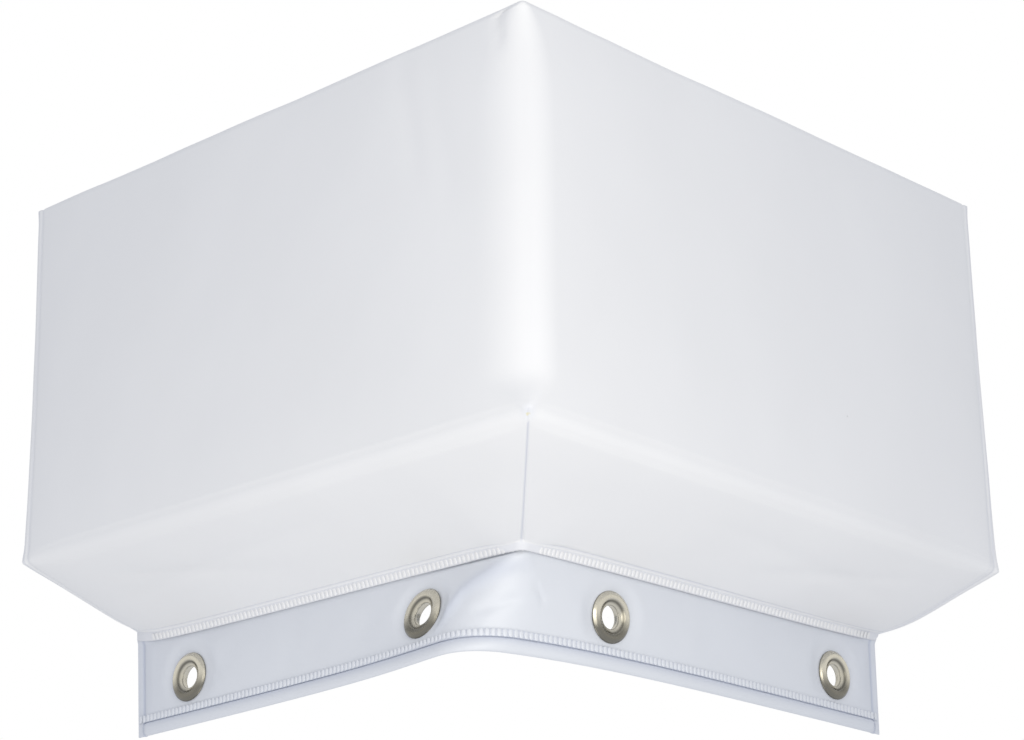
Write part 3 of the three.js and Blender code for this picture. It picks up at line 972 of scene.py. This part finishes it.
class BUMPER_OT_flange(bpy.types.Operator):
    """Make the folded strip with its hem, its soft bend and its pressed grommet seats"""

    bl_idname = "bumper.flange"
    bl_label = "Grommet flange"

    def execute(self, context):
        f = context.scene.bumper_flange
        c = context.scene.bumper_cushion
        g = context.scene.bumper_grommets
        parts, outline = flange_section(f, c)
        spine, normals = strip_line(f, -outline[:, 1], 130, 22)
        out = np.broadcast_to(outline[:, 0][:, None], spine.shape[:2]).copy()
        up = np.broadcast_to(outline[:, 1][:, None], spine.shape[:2])
        row = parts[:, None]
        flat = np.concatenate([spine, up[..., None]], axis=2)
        far = WING_END - on_wing(flat)[0]
        seats = grommet_seats(f, c, g)
        press = np.ones_like(out)
        for centre, _ in seats.values():
            away = np.linalg.norm(flat - np.array(centre), axis=2)
            press *= smooth_step(away - g.rim, *SEAT_RUN)
        out += self.relief(f, row, flat, up, far, press, out, flange_front(f, c))
        grid = settle(np.concatenate([spine + normals * out[..., None], up[..., None]], axis=2))
        rows, columns = grid.shape[:2]
        faces = grid_faces(rows, columns, wrap_rows=True)
        faces.append(tuple(r * columns for r in range(rows)))
        faces.append(tuple(r * columns + columns - 1 for r in reversed(range(rows))))
        # Dirt specks at the corner and on the hem
        spots = (
            ("5E5E60", (-5.0, -2.4, -23.3), 0.5 * MM),
            ("7A7A7C", (30.3, -2.6, -33.0), 0.5 * MM),
        )
        # Painted shade: the strip's colour is darker and bluer than the cover's, for the shade under the
        # cushion
        material = vinyl_material("folded_marine_vinyl_painted_shade", tuple(f.vinyl), 0.42, spots)
        piece = make_piece("flange", grid, faces, material)
        mark(piece, "weld", self.weld_and_shade_marks(f, row, flat, up, far, press))
        face_out(piece)
        self.press_holes(piece, seats, c, g, material)
        dress(piece, "flange_vinyl", "grommet_flange")
        return {"FINISHED"}

    def weld_and_shade_marks(self, f, row, flat, up, far, press):
        """How dark each point is painted: the weld tone of the hem band, painted shade in the groove under
        it, in the end welds' grooves and in the slack fold, and darker toward each end.
        """
        line_width = 0.7 * MM
        under_line = 1.1 * MM
        under_width = 1.3 * MM
        groove_width = 1.1 * MM
        fold_shift = 0.3 * MM
        fold_width = 2.2 * MM
        darker_end_reach = 22 * MM
        # The strengths are given
        above_neck = up - f.hem + FLANGE_DROP
        # Painted shade in the groove under the hem band, and the weld tone of the band
        neck = 0.3 * bump(above_neck, line_width) + 0.25 * bump(above_neck + under_line, under_width)
        neck = np.maximum(neck, np.where(row == "band", 0.3, 0)) * ends_free(far, f)
        # Painted shade in the groove of each end weld
        marks = np.maximum(neck, 0.6 * bump(far - f.groove, groove_width))
        # Painted shade in the slack fold up to the soft bend
        below_fold, shown = slack_fold(flat)
        shade = 0.3 * bump(below_fold + fold_shift, fold_width) * shown * press
        marks = np.maximum(np.where(row == "back", 0, marks), np.where(row == "panel", shade, 0))
        # Darker toward each end of the strip
        return np.maximum(marks, 0.16 * np.exp(-far / darker_end_reach))

    def relief(self, f, row, flat, up, far, press, out, front):
        """How far each point of the strip stands out from its plain section."""
        end_run = 7 * MM
        ripple = 0.3 * MM
        step_low = -2.4 * MM
        step_high = 1.4 * MM
        step_fade = 11 * MM
        panel = row == "panel"
        band_edge = f.hem + f.band_height - FLANGE_DROP
        share = np.clip((up - band_edge) / -band_edge, 0, 1)
        ends = smooth_step(far, f.border, f.border + end_run)
        loose = np.sin(math.pi * share) ** 0.7 * ends * press
        # The loose layer bows out in slow waves, with small ripples
        bulge = f.puff * (1 + 0.5 * wander(flat, 30 * MM, 5.3)) + ripple * wander(flat, 11 * MM, 7.7)
        relief = np.where(panel, loose * bulge, 0)
        # The flat weld at each end, with its groove
        showing = panel | (row == "hem") | (row == "band")
        relief -= np.where(showing, f.groove_depth * bump(far - f.groove, f.groove_width), 0)
        welded = 1 - smooth_step(far, 0.75 * f.border, f.border)
        sunk = np.minimum(0, front - f.flattened - out)
        relief += np.where(showing, sunk * welded, 0)
        # The step up to the soft bend, and the faint creases round it
        below_fold, shown = slack_fold(flat)
        step = smooth_step(-below_fold, step_low, step_high)
        step *= np.exp(-np.maximum(-below_fold, 0) / step_fade) * shown
        relief += np.where(panel, f.crease * step * press, 0)
        # Creases from and to (run along the left wing, drop), with width and depth, in millimetres
        run = flat[..., 1] - flat[..., 0]
        for start, end, width, depth in (
            ((1, 15), (21, 20), 2.0, 0.7),
            ((-9, 16), (-4, 9), 1.6, 0.4),
            ((149, 20), (155, 13), 1.2, 0.35),
        ):
            fold = crease(run / MM, -up / MM, start, end, width)
            relief += np.where(panel, depth * MM * press * fold, 0)
        return relief

    def press_holes(self, piece, seats, c, g, material):
        """Cuts the holes that the eyelets' barrels go through."""
        axis = 0.01 * MM
        reach = 2.5 * MM
        back = -2 * c.sheet - reach
        profile = [(axis, back), (g.seat, back), (g.seat, reach), (axis, reach)]
        for name, seat in seats.items():
            cutter = lathe("cutter", profile, seat, material, sides=64)
            cut = piece.modifiers.new(name, "BOOLEAN")
            cut.operation = "DIFFERENCE"
            cut.solver = "EXACT"
            cut.object = cutter
            bake(piece)
            bpy.data.objects.remove(cutter)


class BUMPER_OT_grommets(bpy.types.Operator):
    """Make the four eyelets and the washers behind them"""

    bl_idname = "bumper.grommets"
    bl_label = "Grommets"

    def execute(self, context):
        f = context.scene.bumper_flange
        c = context.scene.bumper_cushion
        g = context.scene.bumper_grommets
        eyelet_metal = nickel_material("nickel_plated_brass", tuple(g.metal))
        washer_metal = nickel_material("nickel_plated_washer", tinted(tuple(g.metal), 0.9))
        for name, seat in grommet_seats(f, c, g).items():
            eyelet = lathe(f"grommet_rim_{name}", self.eyelet_profile(c, g), seat, eyelet_metal)
            self.mark_painted_shade(eyelet, seat, g)
            dress(eyelet, "grommet_metal", f"eyelet_{name}")
            washer = lathe(f"grommet_washer_{name}", self.washer_profile(c, g), seat, washer_metal)
            dress(washer, "grommet_metal", f"washer_{name}")
        return {"FINISHED"}

    def eyelet_profile(self, c, g):
        """Rim, crown, throat, barrel and rolled end, in (radius, height) from the strip's front.

        Each stretch after the first is a curve given by its start, its control point and its end.
        """
        foot = 0.3 * MM
        crown = foot + g.dome
        strip_back = -2 * c.sheet
        washer_back = strip_back - WASHER_GAP - g.washer_thickness
        roll_front = washer_back - WASHER_GAP
        end = roll_front - g.wall
        inside = g.bore + g.flare
        barrel = inside + g.wall
        edge = (g.rim, foot)
        flank = (g.rim - 0.35 * MM, 0.8 * MM)
        crest = (g.mouth + 1.4 * MM, crown)
        lip = (g.mouth, crown - 0.45 * MM)
        throat = (g.bore, 0.1 * MM)
        narrow = (g.bore, -0.3 * MM)
        outline = [[(g.rim - foot, 0.05 * MM), edge]]
        for start, control, stop, steps in (
            (edge, (g.rim, 2 * foot), flank, 5),
            (flank, (g.mouth + 2.3 * MM, crown), crest, 8),
            (crest, (g.mouth + 0.5 * MM, crown), lip, 8),
            (lip, (g.mouth - 0.8 * MM, 0.4 * MM), throat, 14),
            (throat, (g.bore - 0.05 * MM, -0.1 * MM), narrow, 4),
            (narrow, (inside, -1 * MM), (inside, end), 8),
            ((barrel, end), (barrel + g.roll, end), (barrel + g.roll, roll_front), 6),
        ):
            outline.append(curve(start, control, stop, steps)[1:])
        outline.append([(barrel, roll_front), (barrel, strip_back), (g.mouth - 0.1 * MM, 0)])
        return [tuple(point) for points in outline for point in points]

    def washer_profile(self, c, g):
        """A flat ring with a rounded outer edge."""
        front = -2 * c.sheet - WASHER_GAP
        back = front - g.washer_thickness
        hole = g.bore + g.flare + g.wall + 1.5 * WASHER_GAP
        edge = g.washer_thickness / 2
        share = np.linspace(-0.5, 0.5, 9) * math.pi
        middle = (front + back) / 2
        rim = [(g.washer - edge + edge * math.cos(a), middle + edge * math.sin(a)) for a in share]
        return [(hole, front), (hole, back)] + rim

    def mark_painted_shade(self, piece, seat, g):
        """Marks the painted shade on the plating: in the throat, round the valley ring at the mouth and at
        the foot, and a painted dark reflection on the lower half of the dome.
        """
        centre, outward = seat
        soft = 0.6 * MM
        values = []
        for vertex in piece.data.vertices:
            offset = vertex.co - centre
            height = offset.dot(outward)
            radius = (offset - outward * height).length
            outside = smooth_step(radius - g.mouth, 0, soft)
            low = smooth_step(0.8 * MM - height, 0, 0.4 * MM)
            throat = 0.15 * smooth_step(g.mouth - radius, 0, soft)
            narrow = 0.35 * smooth_step(g.bore + 0.3 * MM - radius, 0, 0.2 * MM)
            ring = 0.95 * bump(radius - g.mouth + 0.2 * MM, 0.55 * MM)
            # Painted dark reflection: the lower half of the dome is darkened
            lower_half = 0.95 * smooth_step(-offset.z / g.rim, -0.15, 0.6) * outside
            foot = 0.9 * bump(radius - g.rim, 0.4 * MM) * low
            values.append(min(float(throat + narrow + ring + lower_half + foot), 1.0))
        mark(piece, "recess", values)


def rib_tree(name):
    """Geometry nodes that set a half-sunk rib across a guide line at every pitch."""
    tree = bpy.data.node_groups.new(name, "GeometryNodeTree")
    tree.is_modifier = True
    face = tree.interface
    face.new_socket("Geometry", in_out="INPUT", socket_type="NodeSocketGeometry")
    for label in ("Pitch", "Width", "Height", "Relief"):
        face.new_socket(label, in_out="INPUT", socket_type="NodeSocketFloat")
    face.new_socket("Material", in_out="INPUT", socket_type="NodeSocketMaterial")
    face.new_socket("Geometry", in_out="OUTPUT", socket_type="NodeSocketGeometry")
    given = add(tree, "NodeGroupInput").outputs
    guide = add(tree, "GeometryNodeMeshToCurve", {"Mesh": given["Geometry"]})
    spaced = {"Curve": guide.outputs["Curve"], "Length": given["Pitch"]}
    steps = add(tree, "GeometryNodeResampleCurve", spaced, mode="LENGTH")
    radius = add(tree, "ShaderNodeMath", {0: given["Width"], 1: 0.5}, operation="MULTIPLY").outputs[0]
    flatten = add(tree, "ShaderNodeMath", {0: given["Relief"], 1: radius}, operation="DIVIDE").outputs[0]
    ball = add(tree, "GeometryNodeMeshUVSphere", {"Segments": 10, "Rings": 8, "Radius": radius})
    place = add(tree, "GeometryNodeInputPosition").outputs["Position"]
    level = add(tree, "ShaderNodeSeparateXYZ", {"Vector": place}).outputs["Z"]
    side = add(tree, "ShaderNodeMath", {0: level}, operation="SIGN").outputs[0]
    spare = add(
        tree, "ShaderNodeMath", {0: given["Height"], 1: given["Width"]}, operation="SUBTRACT"
    ).outputs[0]
    shift = add(tree, "ShaderNodeMath", {0: side, 1: spare}, operation="MULTIPLY").outputs[0]
    half = add(tree, "ShaderNodeMath", {0: shift, 1: 0.5}, operation="MULTIPLY").outputs[0]
    stretch = add(tree, "ShaderNodeCombineXYZ", {"Z": half}).outputs["Vector"]
    bar = add(tree, "GeometryNodeSetPosition", {"Geometry": ball.outputs["Mesh"], "Offset": stretch})
    pressed = add(
        tree, "GeometryNodeInputNamedAttribute", {"Name": "press"}, data_type="FLOAT"
    ).outputs["Attribute"]
    depth = add(tree, "ShaderNodeMath", {0: flatten, 1: pressed}, operation="MULTIPLY").outputs[0]
    size = add(tree, "ShaderNodeCombineXYZ", {"X": 1.0, "Y": depth, "Z": 1.0}).outputs["Vector"]
    tangent = add(tree, "GeometryNodeInputTangent").outputs["Tangent"]
    outward = add(
        tree, "GeometryNodeInputNamedAttribute", {"Name": "outward"}, data_type="FLOAT_VECTOR"
    ).outputs["Attribute"]
    first = add(tree, "FunctionNodeAlignRotationToVector", {"Vector": tangent}, axis="X").outputs["Rotation"]
    turned = add(
        tree,
        "FunctionNodeAlignRotationToVector",
        {"Rotation": first, "Vector": outward},
        axis="Y",
        pivot_axis="X",
    ).outputs["Rotation"]
    placed = add(
        tree,
        "GeometryNodeInstanceOnPoints",
        {
            "Points": steps.outputs["Curve"],
            "Instance": bar.outputs["Geometry"],
            "Rotation": turned,
            "Scale": size,
        },
    )
    real = add(tree, "GeometryNodeRealizeInstances", {"Geometry": placed.outputs["Instances"]})
    smooth = add(tree, "GeometryNodeSetShadeSmooth", {"Geometry": real.outputs["Geometry"]})
    painted = add(
        tree,
        "GeometryNodeSetMaterial",
        {"Geometry": smooth.outputs["Geometry"], "Material": given["Material"]},
    )
    add(tree, "NodeGroupOutput", {"Geometry": painted.outputs["Geometry"]})
    return tree


def make_ribs(name, points, outward, press, height, w, material):
    """A weld band's ribs, as one plain mesh along a guide line."""
    count = len(points)
    mesh = bpy.data.meshes.new(name)
    mesh.from_pydata(points.tolist(), [(i, i + 1) for i in range(count - 1)], [])
    mesh.attributes.new("outward", "FLOAT_VECTOR", "POINT").data.foreach_set("vector", outward.ravel())
    mesh.attributes.new("press", "FLOAT", "POINT").data.foreach_set("value", press)
    piece = bpy.data.objects.new(name, mesh)
    bpy.context.scene.collection.objects.link(piece)
    ribs = piece.modifiers.new("ribs", "NODES")
    ribs.node_group = rib_tree(name)
    values = {"Pitch": w.pitch, "Width": w.width, "Height": height, "Relief": w.relief, "Material": material}
    for item in ribs.node_group.interface.items_tree:
        if item.in_out == "INPUT" and item.name in values:
            ribs[item.identifier] = values[item.name]
    bake(piece)
    return piece


class BUMPER_OT_weld_ribs(bpy.types.Operator):
    """Press the ribs of both weld bands"""

    bl_idname = "bumper.weld_ribs"
    bl_label = "Weld ribs"

    def execute(self, context):
        f = context.scene.bumper_flange
        c = context.scene.bumper_cushion
        w = context.scene.bumper_welds
        self.seam_ribs(c, w)
        self.hem_ribs(f, c, w)
        return {"FINISHED"}

    def seam_ribs(self, c, w):
        """Ribs on the leaning band at the foot of the underside, fainter toward the ends."""
        # Their line runs a little below the middle of the band
        outline = np.array([[c.band_foot + 0.45 * c.band_lean, 0.48 * c.band_height]])
        reach = np.array([0.8 * c.seam_corner])
        grid = round_the_corner(outline, reach, reach, 160, 16)
        points = settle(grid)[0]
        lean = c.band_lean / c.band_height
        flat = plan_normals(points)
        outward = np.concatenate([flat, np.full((len(flat), 1), -lean)], axis=1)
        outward /= np.linalg.norm(outward, axis=1, keepdims=True)
        along, _, _, right = on_wing(points)
        far = WING_END - along
        # At each end a stretch is bare, and the die pressed less beside it
        start = np.where(right, 7 * MM, 10 * MM)
        fade = np.where(right, 40 * MM, 3 * MM)
        least_press = 0.02
        press = 0.25 + 0.75 * smooth_step(far, start, start + fade)
        press = np.maximum(press * smooth_step(along, 4 * MM, 7 * MM), least_press)
        # Round the dock's corner the die leaves no ribs: there they lie inside the sheet
        sunk = 0.4 * MM
        inside = sunk * (1 - smooth_step(along, 3 * MM, 6 * MM))
        points = points - outward * inside[:, None]
        # Painted shade: the ribs are a darker copy of the cover's vinyl, so that they look less lit
        material = vinyl_material("seam_rib_vinyl_painted_shade", tinted(tuple(c.vinyl), 0.95), 0.4)
        keep = far > start
        height = 0.88 * c.band_height
        piece = make_ribs("seam_weld_ribs", points[keep], outward[keep], press[keep], height, w, material)
        dress(piece, "cover_vinyl")

    def hem_ribs(self, f, c, w):
        """Ribs on the band above the hem."""
        up = f.hem - FLANGE_DROP + 0.5 * f.band_height
        spine, normals = strip_line(f, [-up], 160, 24)
        front = flange_front(f, c) + f.band_swell
        level = np.full((spine.shape[1], 1), up)
        points = np.concatenate([spine[0] + normals[0] * front, level], axis=1)
        points = settle(points)
        outward = np.concatenate([normals[0], np.zeros((len(points), 1))], axis=1)
        along, _, _, right = on_wing(points)
        far = WING_END - along
        # The die pressed less toward the ends, least on the right
        right_press = 0.45 + 0.55 * smooth_step(far, 30 * MM, 110 * MM)
        left_press = 0.7 + 0.3 * smooth_step(far, 20 * MM, 90 * MM)
        press = smooth_step(far, f.border, f.border + 2 * MM) * np.where(right, right_press, left_press)
        clear_of_border = 0.8 * MM
        keep = far > f.border + clear_of_border
        # The hem ribs take the strip's colour with its painted shade, a little lighter
        material = vinyl_material("hem_weld_vinyl", tinted(tuple(f.vinyl), 1.02), 0.4)
        height = 0.95 * f.band_height
        piece = make_ribs("hem_weld_ribs", points[keep], outward[keep], press[keep], height, w, material)
        dress(piece, "flange_vinyl")


def plan_normals(points):
    """Outward normals, in plan, of a line that runs round the corner from right to left."""
    run = np.gradient(points[:, :2], axis=0)
    normals = np.stack([-run[:, 1], run[:, 0]], axis=1)
    normals /= np.maximum(np.linalg.norm(normals, axis=1, keepdims=True), 1e-12)
    flip = np.where((normals @ np.array([-1.0, -1.0])) < 0, -1.0, 1.0)
    return normals * flip[:, None]


class BUMPER_OT_back_panel(bpy.types.Operator):
    """Make the dock side's sheet, flat on the dock with a weld line round it"""

    bl_idname = "bumper.back_panel"
    bl_label = "Back panel"

    def execute(self, context):
        c = context.scene.bumper_cushion
        steps = 60
        tucked_under = 0.6 * MM
        bend = 1.0 * MM
        weld_inset = 4 * MM
        heights = ease(np.linspace(0, 1, steps), 1.5) * (PANEL_TOP + tucked_under)
        outline = np.stack([np.zeros(steps), heights], axis=1)
        reach = np.full(steps, bend)
        grid = round_the_corner(outline, reach, reach, 110, 8)
        along, _, up, _ = on_wing(grid)
        edge = np.minimum.reduce([up, PANEL_TOP - up, WING_END - along])
        weld = 0.25 * MM * bump(edge - weld_inset, 0.8 * MM)
        waves = 0.12 * MM * (1 + wander(grid, 35 * MM, 2.2))
        sink = (weld + waves) * smooth_step(along, 0, 8 * MM)
        grid = settle(grid + grid_normals(grid) * sink[..., None])
        material = vinyl_material("matt_marine_vinyl", tuple(c.panel), 0.5)
        rows, columns = grid.shape[:2]
        piece = make_piece("back_sheet", grid, grid_faces(rows, columns), material)
        thicken(piece, 0.8 * c.sheet)
        dress(piece, "panel_vinyl", "back_panel")
        return {"FINISHED"}


def end_outline(c, inset, steps):
    """Outline of a wing's end, drawn in by an inset, with as many points for each inset."""
    band_top = c.band_foot + c.band_lean
    slope = (c.rise - c.band_height) / (BODY_DEPTH - band_top)

    def underside(out):
        return c.band_height + (out - band_top) * slope + inset * math.hypot(1, slope)

    sharpest = 0.4 * MM
    back_fold = 0.6 * MM
    outer = BODY_DEPTH - inset
    corners = [
        (inset, BODY_TOP - inset, back_fold),
        (outer, BODY_TOP - inset, max(c.top_fold - inset, sharpest)),
        (outer, underside(outer), max(c.fold - inset, sharpest)),
        (inset, underside(inset), back_fold),
    ]
    points = []
    for i, (x, y, radius) in enumerate(corners):
        before = corners[i - 1]
        after = corners[(i + 1) % 4]
        points += list(arc((x, y), before[:2], after[:2], radius, 7))
        following = arc(after[:2], (x, y), corners[(i + 2) % 4][:2], after[2], 7)[0]
        share = np.linspace(0, 1, steps[i % 2] + 2)[1:-1, None]
        points += list(points[-1] * (1 - share) + following * share)
    return np.array(points)


class BUMPER_OT_end_panels(bpy.types.Operator):
    """Make the panels that close the wings' ends, sunk inside the welded lip"""

    bl_idname = "bumper.end_panels"
    bl_label = "End panels"

    def execute(self, context):
        c = context.scene.bumper_cushion
        liner = c.sheet + SHEET_GAP
        flat = c.sheet - c.panel_depth
        material = vinyl_material("matt_marine_vinyl_ends", tuple(c.panel), 0.5)
        # The lip's section, as (inset from the cover, distance past the wing's end)
        rings = [
            (liner, -c.panel_depth),
            (liner, -0.2 * MM),
            (liner + 0.3 * MM, 0.0),
            (liner + c.sheet, -0.2 * MM),
            (liner + c.sheet + 0.1 * MM, flat - 0.4 * c.sheet),
        ]
        # Inside the lip the sheet swells out a little over the foam
        fullness = 2.4 * MM
        centre = BODY_DEPTH / 2 - 0.6 * MM
        start = liner + c.sheet + 0.5 * MM
        for share in np.linspace(0, 1, 22):
            swell = fullness * math.sin(0.5 * math.pi * share) ** 0.8
            rings.append((start + (centre - start) * share, flat + swell))
        loops = []
        for inset, place in rings:
            outline = end_outline(c, inset, (16, 44))
            across = np.full(len(outline), WING_END + place)
            loops.append(np.stack([across, -outline[:, 0], outline[:, 1]], axis=1))
        grid = np.array(loops)
        count = grid.shape[1]
        faces = grid_faces(len(loops), count, wrap_columns=True)
        last = (len(loops) - 1) * count
        faces.append(tuple(last + i for i in range(count)))
        faces.append(tuple(reversed(range(count))))
        for name, node in (("end_sheet_right", "end_panel_right"), ("end_sheet_left", "end_panel_left")):
            points = grid.copy()
            if node.endswith("left"):
                points = points[..., [1, 0, 2]]
            piece = make_piece(name, settle(points), faces, material)
            face_out(piece)
            dress(piece, "panel_vinyl", node)
        return {"FINISHED"}


class BUMPER_OT_foam(bpy.types.Operator):
    """Give the foam cores inside the cover their own finish"""

    bl_idname = "bumper.foam"
    bl_label = "Foam cores"

    def execute(self, context):
        material = foam_material(tuple(context.scene.bumper_cushion.foam))
        for name, node in (("foam_right", "foam_core_right"), ("foam_left", "foam_core_left")):
            core = bpy.data.objects[node]
            work = bmesh.new()
            work.from_mesh(core.data)
            work.transform(core.matrix_world)
            bmesh.ops.subdivide_edges(work, edges=work.edges, cuts=9, use_grid_fill=True)
            points = settle(self.draw_back(np.array([tuple(vertex.co) for vertex in work.verts])))
            for vertex, point in zip(work.verts, points):
                vertex.co = point
            work.normal_update()
            clearance = 0.4 * MM
            for vertex, normal in [(v, v.normal.copy()) for v in work.verts]:
                vertex.co -= normal * clearance
            mesh = bpy.data.meshes.new(name)
            work.to_mesh(mesh)
            work.free()
            mesh.materials.append(material)
            piece = bpy.data.objects.new(name, mesh)
            context.scene.collection.objects.link(piece)
            dress(piece, "foam", node)
        return {"FINISHED"}

    def draw_back(self, points):
        """Keeps the foam's upright corner behind the cover's soft one."""
        reach = 14 * MM
        right_back = 4.5 * MM
        left_back = 3.0 * MM
        near = np.exp(-(on_wing(points)[0] + BODY_DEPTH) / reach)
        moved = points.copy()
        moved[:, 0] += right_back * near
        moved[:, 1] += left_back * near
        return moved


class BUMPER_OT_stage(bpy.types.Operator):
    """Set the floor, the soft light and the camera"""

    bl_idname = "bumper.stage"
    bl_label = "Stage"

    def execute(self, context):
        stage = context.scene.bumper_stage
        self.floor(stage)
        self.world(context)
        self.lamps(context)
        self.camera(context, stage)
        context.scene.view_settings.view_transform = "Standard"
        return {"FINISHED"}

    def floor(self, stage):
        """A plain pale floor that looks whiter to the camera and the metal."""
        material, tree = new_material("pale_studio_floor")
        rays = add(tree, "ShaderNodeLightPath").outputs
        seen = add(
            tree, "ShaderNodeMath", {0: rays["Is Camera Ray"], 1: rays["Is Glossy Ray"]}, operation="MAXIMUM"
        ).outputs[0]
        paint = add(tree, "ShaderNodeBsdfDiffuse", {"Color": linear("F4F4F4")})
        white = add(tree, "ShaderNodeEmission", {"Color": (1, 1, 1, 1), "Strength": 0.35})
        both = add(tree, "ShaderNodeAddShader", {0: paint.outputs[0], 1: white.outputs[0]})
        mixed = add(tree, "ShaderNodeMixShader", {0: seen, 1: paint.outputs[0], 2: both.outputs[0]})
        add(tree, "ShaderNodeOutputMaterial", {"Surface": mixed.outputs[0]})
        size = 6.0
        height = -stage.floor_drop
        points = [(x * size, y * size, height) for x, y in ((-1, -1), (1, -1), (1, 1), (-1, 1))]
        floor = make_piece("floor", points, [(0, 1, 2, 3)], material)

    def world(self, context):
        """White where the camera or the metal sees it, and a plain even light elsewhere."""
        world = bpy.data.worlds.new("studio_air")
        context.scene.world = world
        world.use_nodes = True
        tree = world.node_tree
        tree.nodes.clear()
        rays = add(tree, "ShaderNodeLightPath").outputs
        seen = add(
            tree,
            "ShaderNodeMath",
            {0: rays["Is Camera Ray"], 1: rays["Is Transmission Ray"]},
            operation="MAXIMUM",
        ).outputs[0]
        seen = add(
            tree, "ShaderNodeMath", {0: seen, 1: rays["Is Glossy Ray"]}, operation="MAXIMUM"
        ).outputs[0]
        air = add(tree, "ShaderNodeBackground", {"Color": linear("F2F6FF"), "Strength": 0.68})
        white = add(tree, "ShaderNodeBackground", {"Color": (1, 1, 1, 1), "Strength": 1.0})
        mixed = add(tree, "ShaderNodeMixShader", {0: seen, 1: air.outputs[0], 2: white.outputs[0]})
        add(tree, "ShaderNodeOutputWorld", {"Surface": mixed.outputs[0]})

    def lamps(self, context):
        """Two large soft lamps, one before the corner and one below: place, aim, size and watts."""
        for name, place, target, size, power in (
            ("front", (-0.36, -0.465, -0.07), (0.0, 0.0, 0.07), 0.55, 1.72),
            ("below", (-0.24, -0.08, -0.53), (0.0, 0.0, 0.0), 0.4, 0.84),
        ):
            light = bpy.data.lights.new(name, "AREA")
            light.shape = "DISK"
            light.size = size
            light.energy = power
            light.color = (1.0, 0.965, 0.88)
            lamp = bpy.data.objects.new(name, light)
            lamp.location = place
            lamp.visible_camera = False
            aim = Vector(target) - Vector(place)
            lamp.rotation_mode = "QUATERNION"
            lamp.rotation_quaternion = aim.to_track_quat("-Z", "Y")
            context.scene.collection.objects.link(lamp)

    def camera(self, context, stage):
        """The camera looks up at the outer corner from below."""
        data = bpy.data.cameras.new("camera")
        data.lens = stage.lens
        data.sensor_width = 36
        data.clip_start = 0.01
        camera = bpy.data.objects.new("camera", data)
        camera.location = stage.place
        forward = Vector(
            (
                math.cos(stage.pitch) * math.cos(stage.heading),
                math.cos(stage.pitch) * math.sin(stage.heading),
                math.sin(stage.pitch),
            )
        )
        camera.rotation_mode = "QUATERNION"
        level = forward.to_track_quat("-Z", "Y")
        camera.rotation_quaternion = Quaternion(forward, -stage.roll) @ level
        context.scene.collection.objects.link(camera)
        context.scene.camera = camera


class BUMPER_PT_panel(bpy.types.Panel):
    """Lists the steps and the sizes in the sidebar"""

    bl_idname = "BUMPER_PT_panel"
    bl_label = "Dock corner bumper"
    bl_space_type = "VIEW_3D"
    bl_region_type = "UI"
    bl_category = "Bumper"

    def draw(self, context):
        layout = self.layout
        for step in STEPS:
            layout.operator(step.bl_idname)
        for name in GROUPS:
            group = getattr(context.scene, name)
            column = layout.column(heading=name)
            for key in group.__annotations__:
                column.prop(group, key)


STEPS = (
    BUMPER_OT_cover,
    BUMPER_OT_back_panel,
    BUMPER_OT_end_panels,
    BUMPER_OT_flange,
    BUMPER_OT_weld_ribs,
    BUMPER_OT_grommets,
    BUMPER_OT_foam,
    BUMPER_OT_stage,
)
GROUPS = {
    "bumper_cushion": BumperCushion,
    "bumper_dart": BumperDart,
    "bumper_sag": BumperSag,
    "bumper_flange": BumperFlange,
    "bumper_welds": BumperWelds,
    "bumper_grommets": BumperGrommets,
    "bumper_stage": BumperStage,
}


def register():
    for group in GROUPS.values():
        bpy.utils.register_class(group)
    for step in (*STEPS, BUMPER_PT_panel):
        bpy.utils.register_class(step)
    for name, group in GROUPS.items():
        setattr(bpy.types.Scene, name, bpy.props.PointerProperty(type=group))


def unregister():
    for name in GROUPS:
        delattr(bpy.types.Scene, name)
    for step in (BUMPER_PT_panel, *reversed(STEPS)):
        bpy.utils.unregister_class(step)
    for group in reversed(list(GROUPS.values())):
        bpy.utils.unregister_class(group)


def main():
    register()
    bpy.ops.bumper.cover()
    bpy.ops.bumper.back_panel()
    bpy.ops.bumper.end_panels()
    bpy.ops.bumper.flange()
    bpy.ops.bumper.weld_ribs()
    bpy.ops.bumper.grommets()
    bpy.ops.bumper.foam()
    bpy.ops.bumper.stage()


if __name__ == "__main__":
    main()
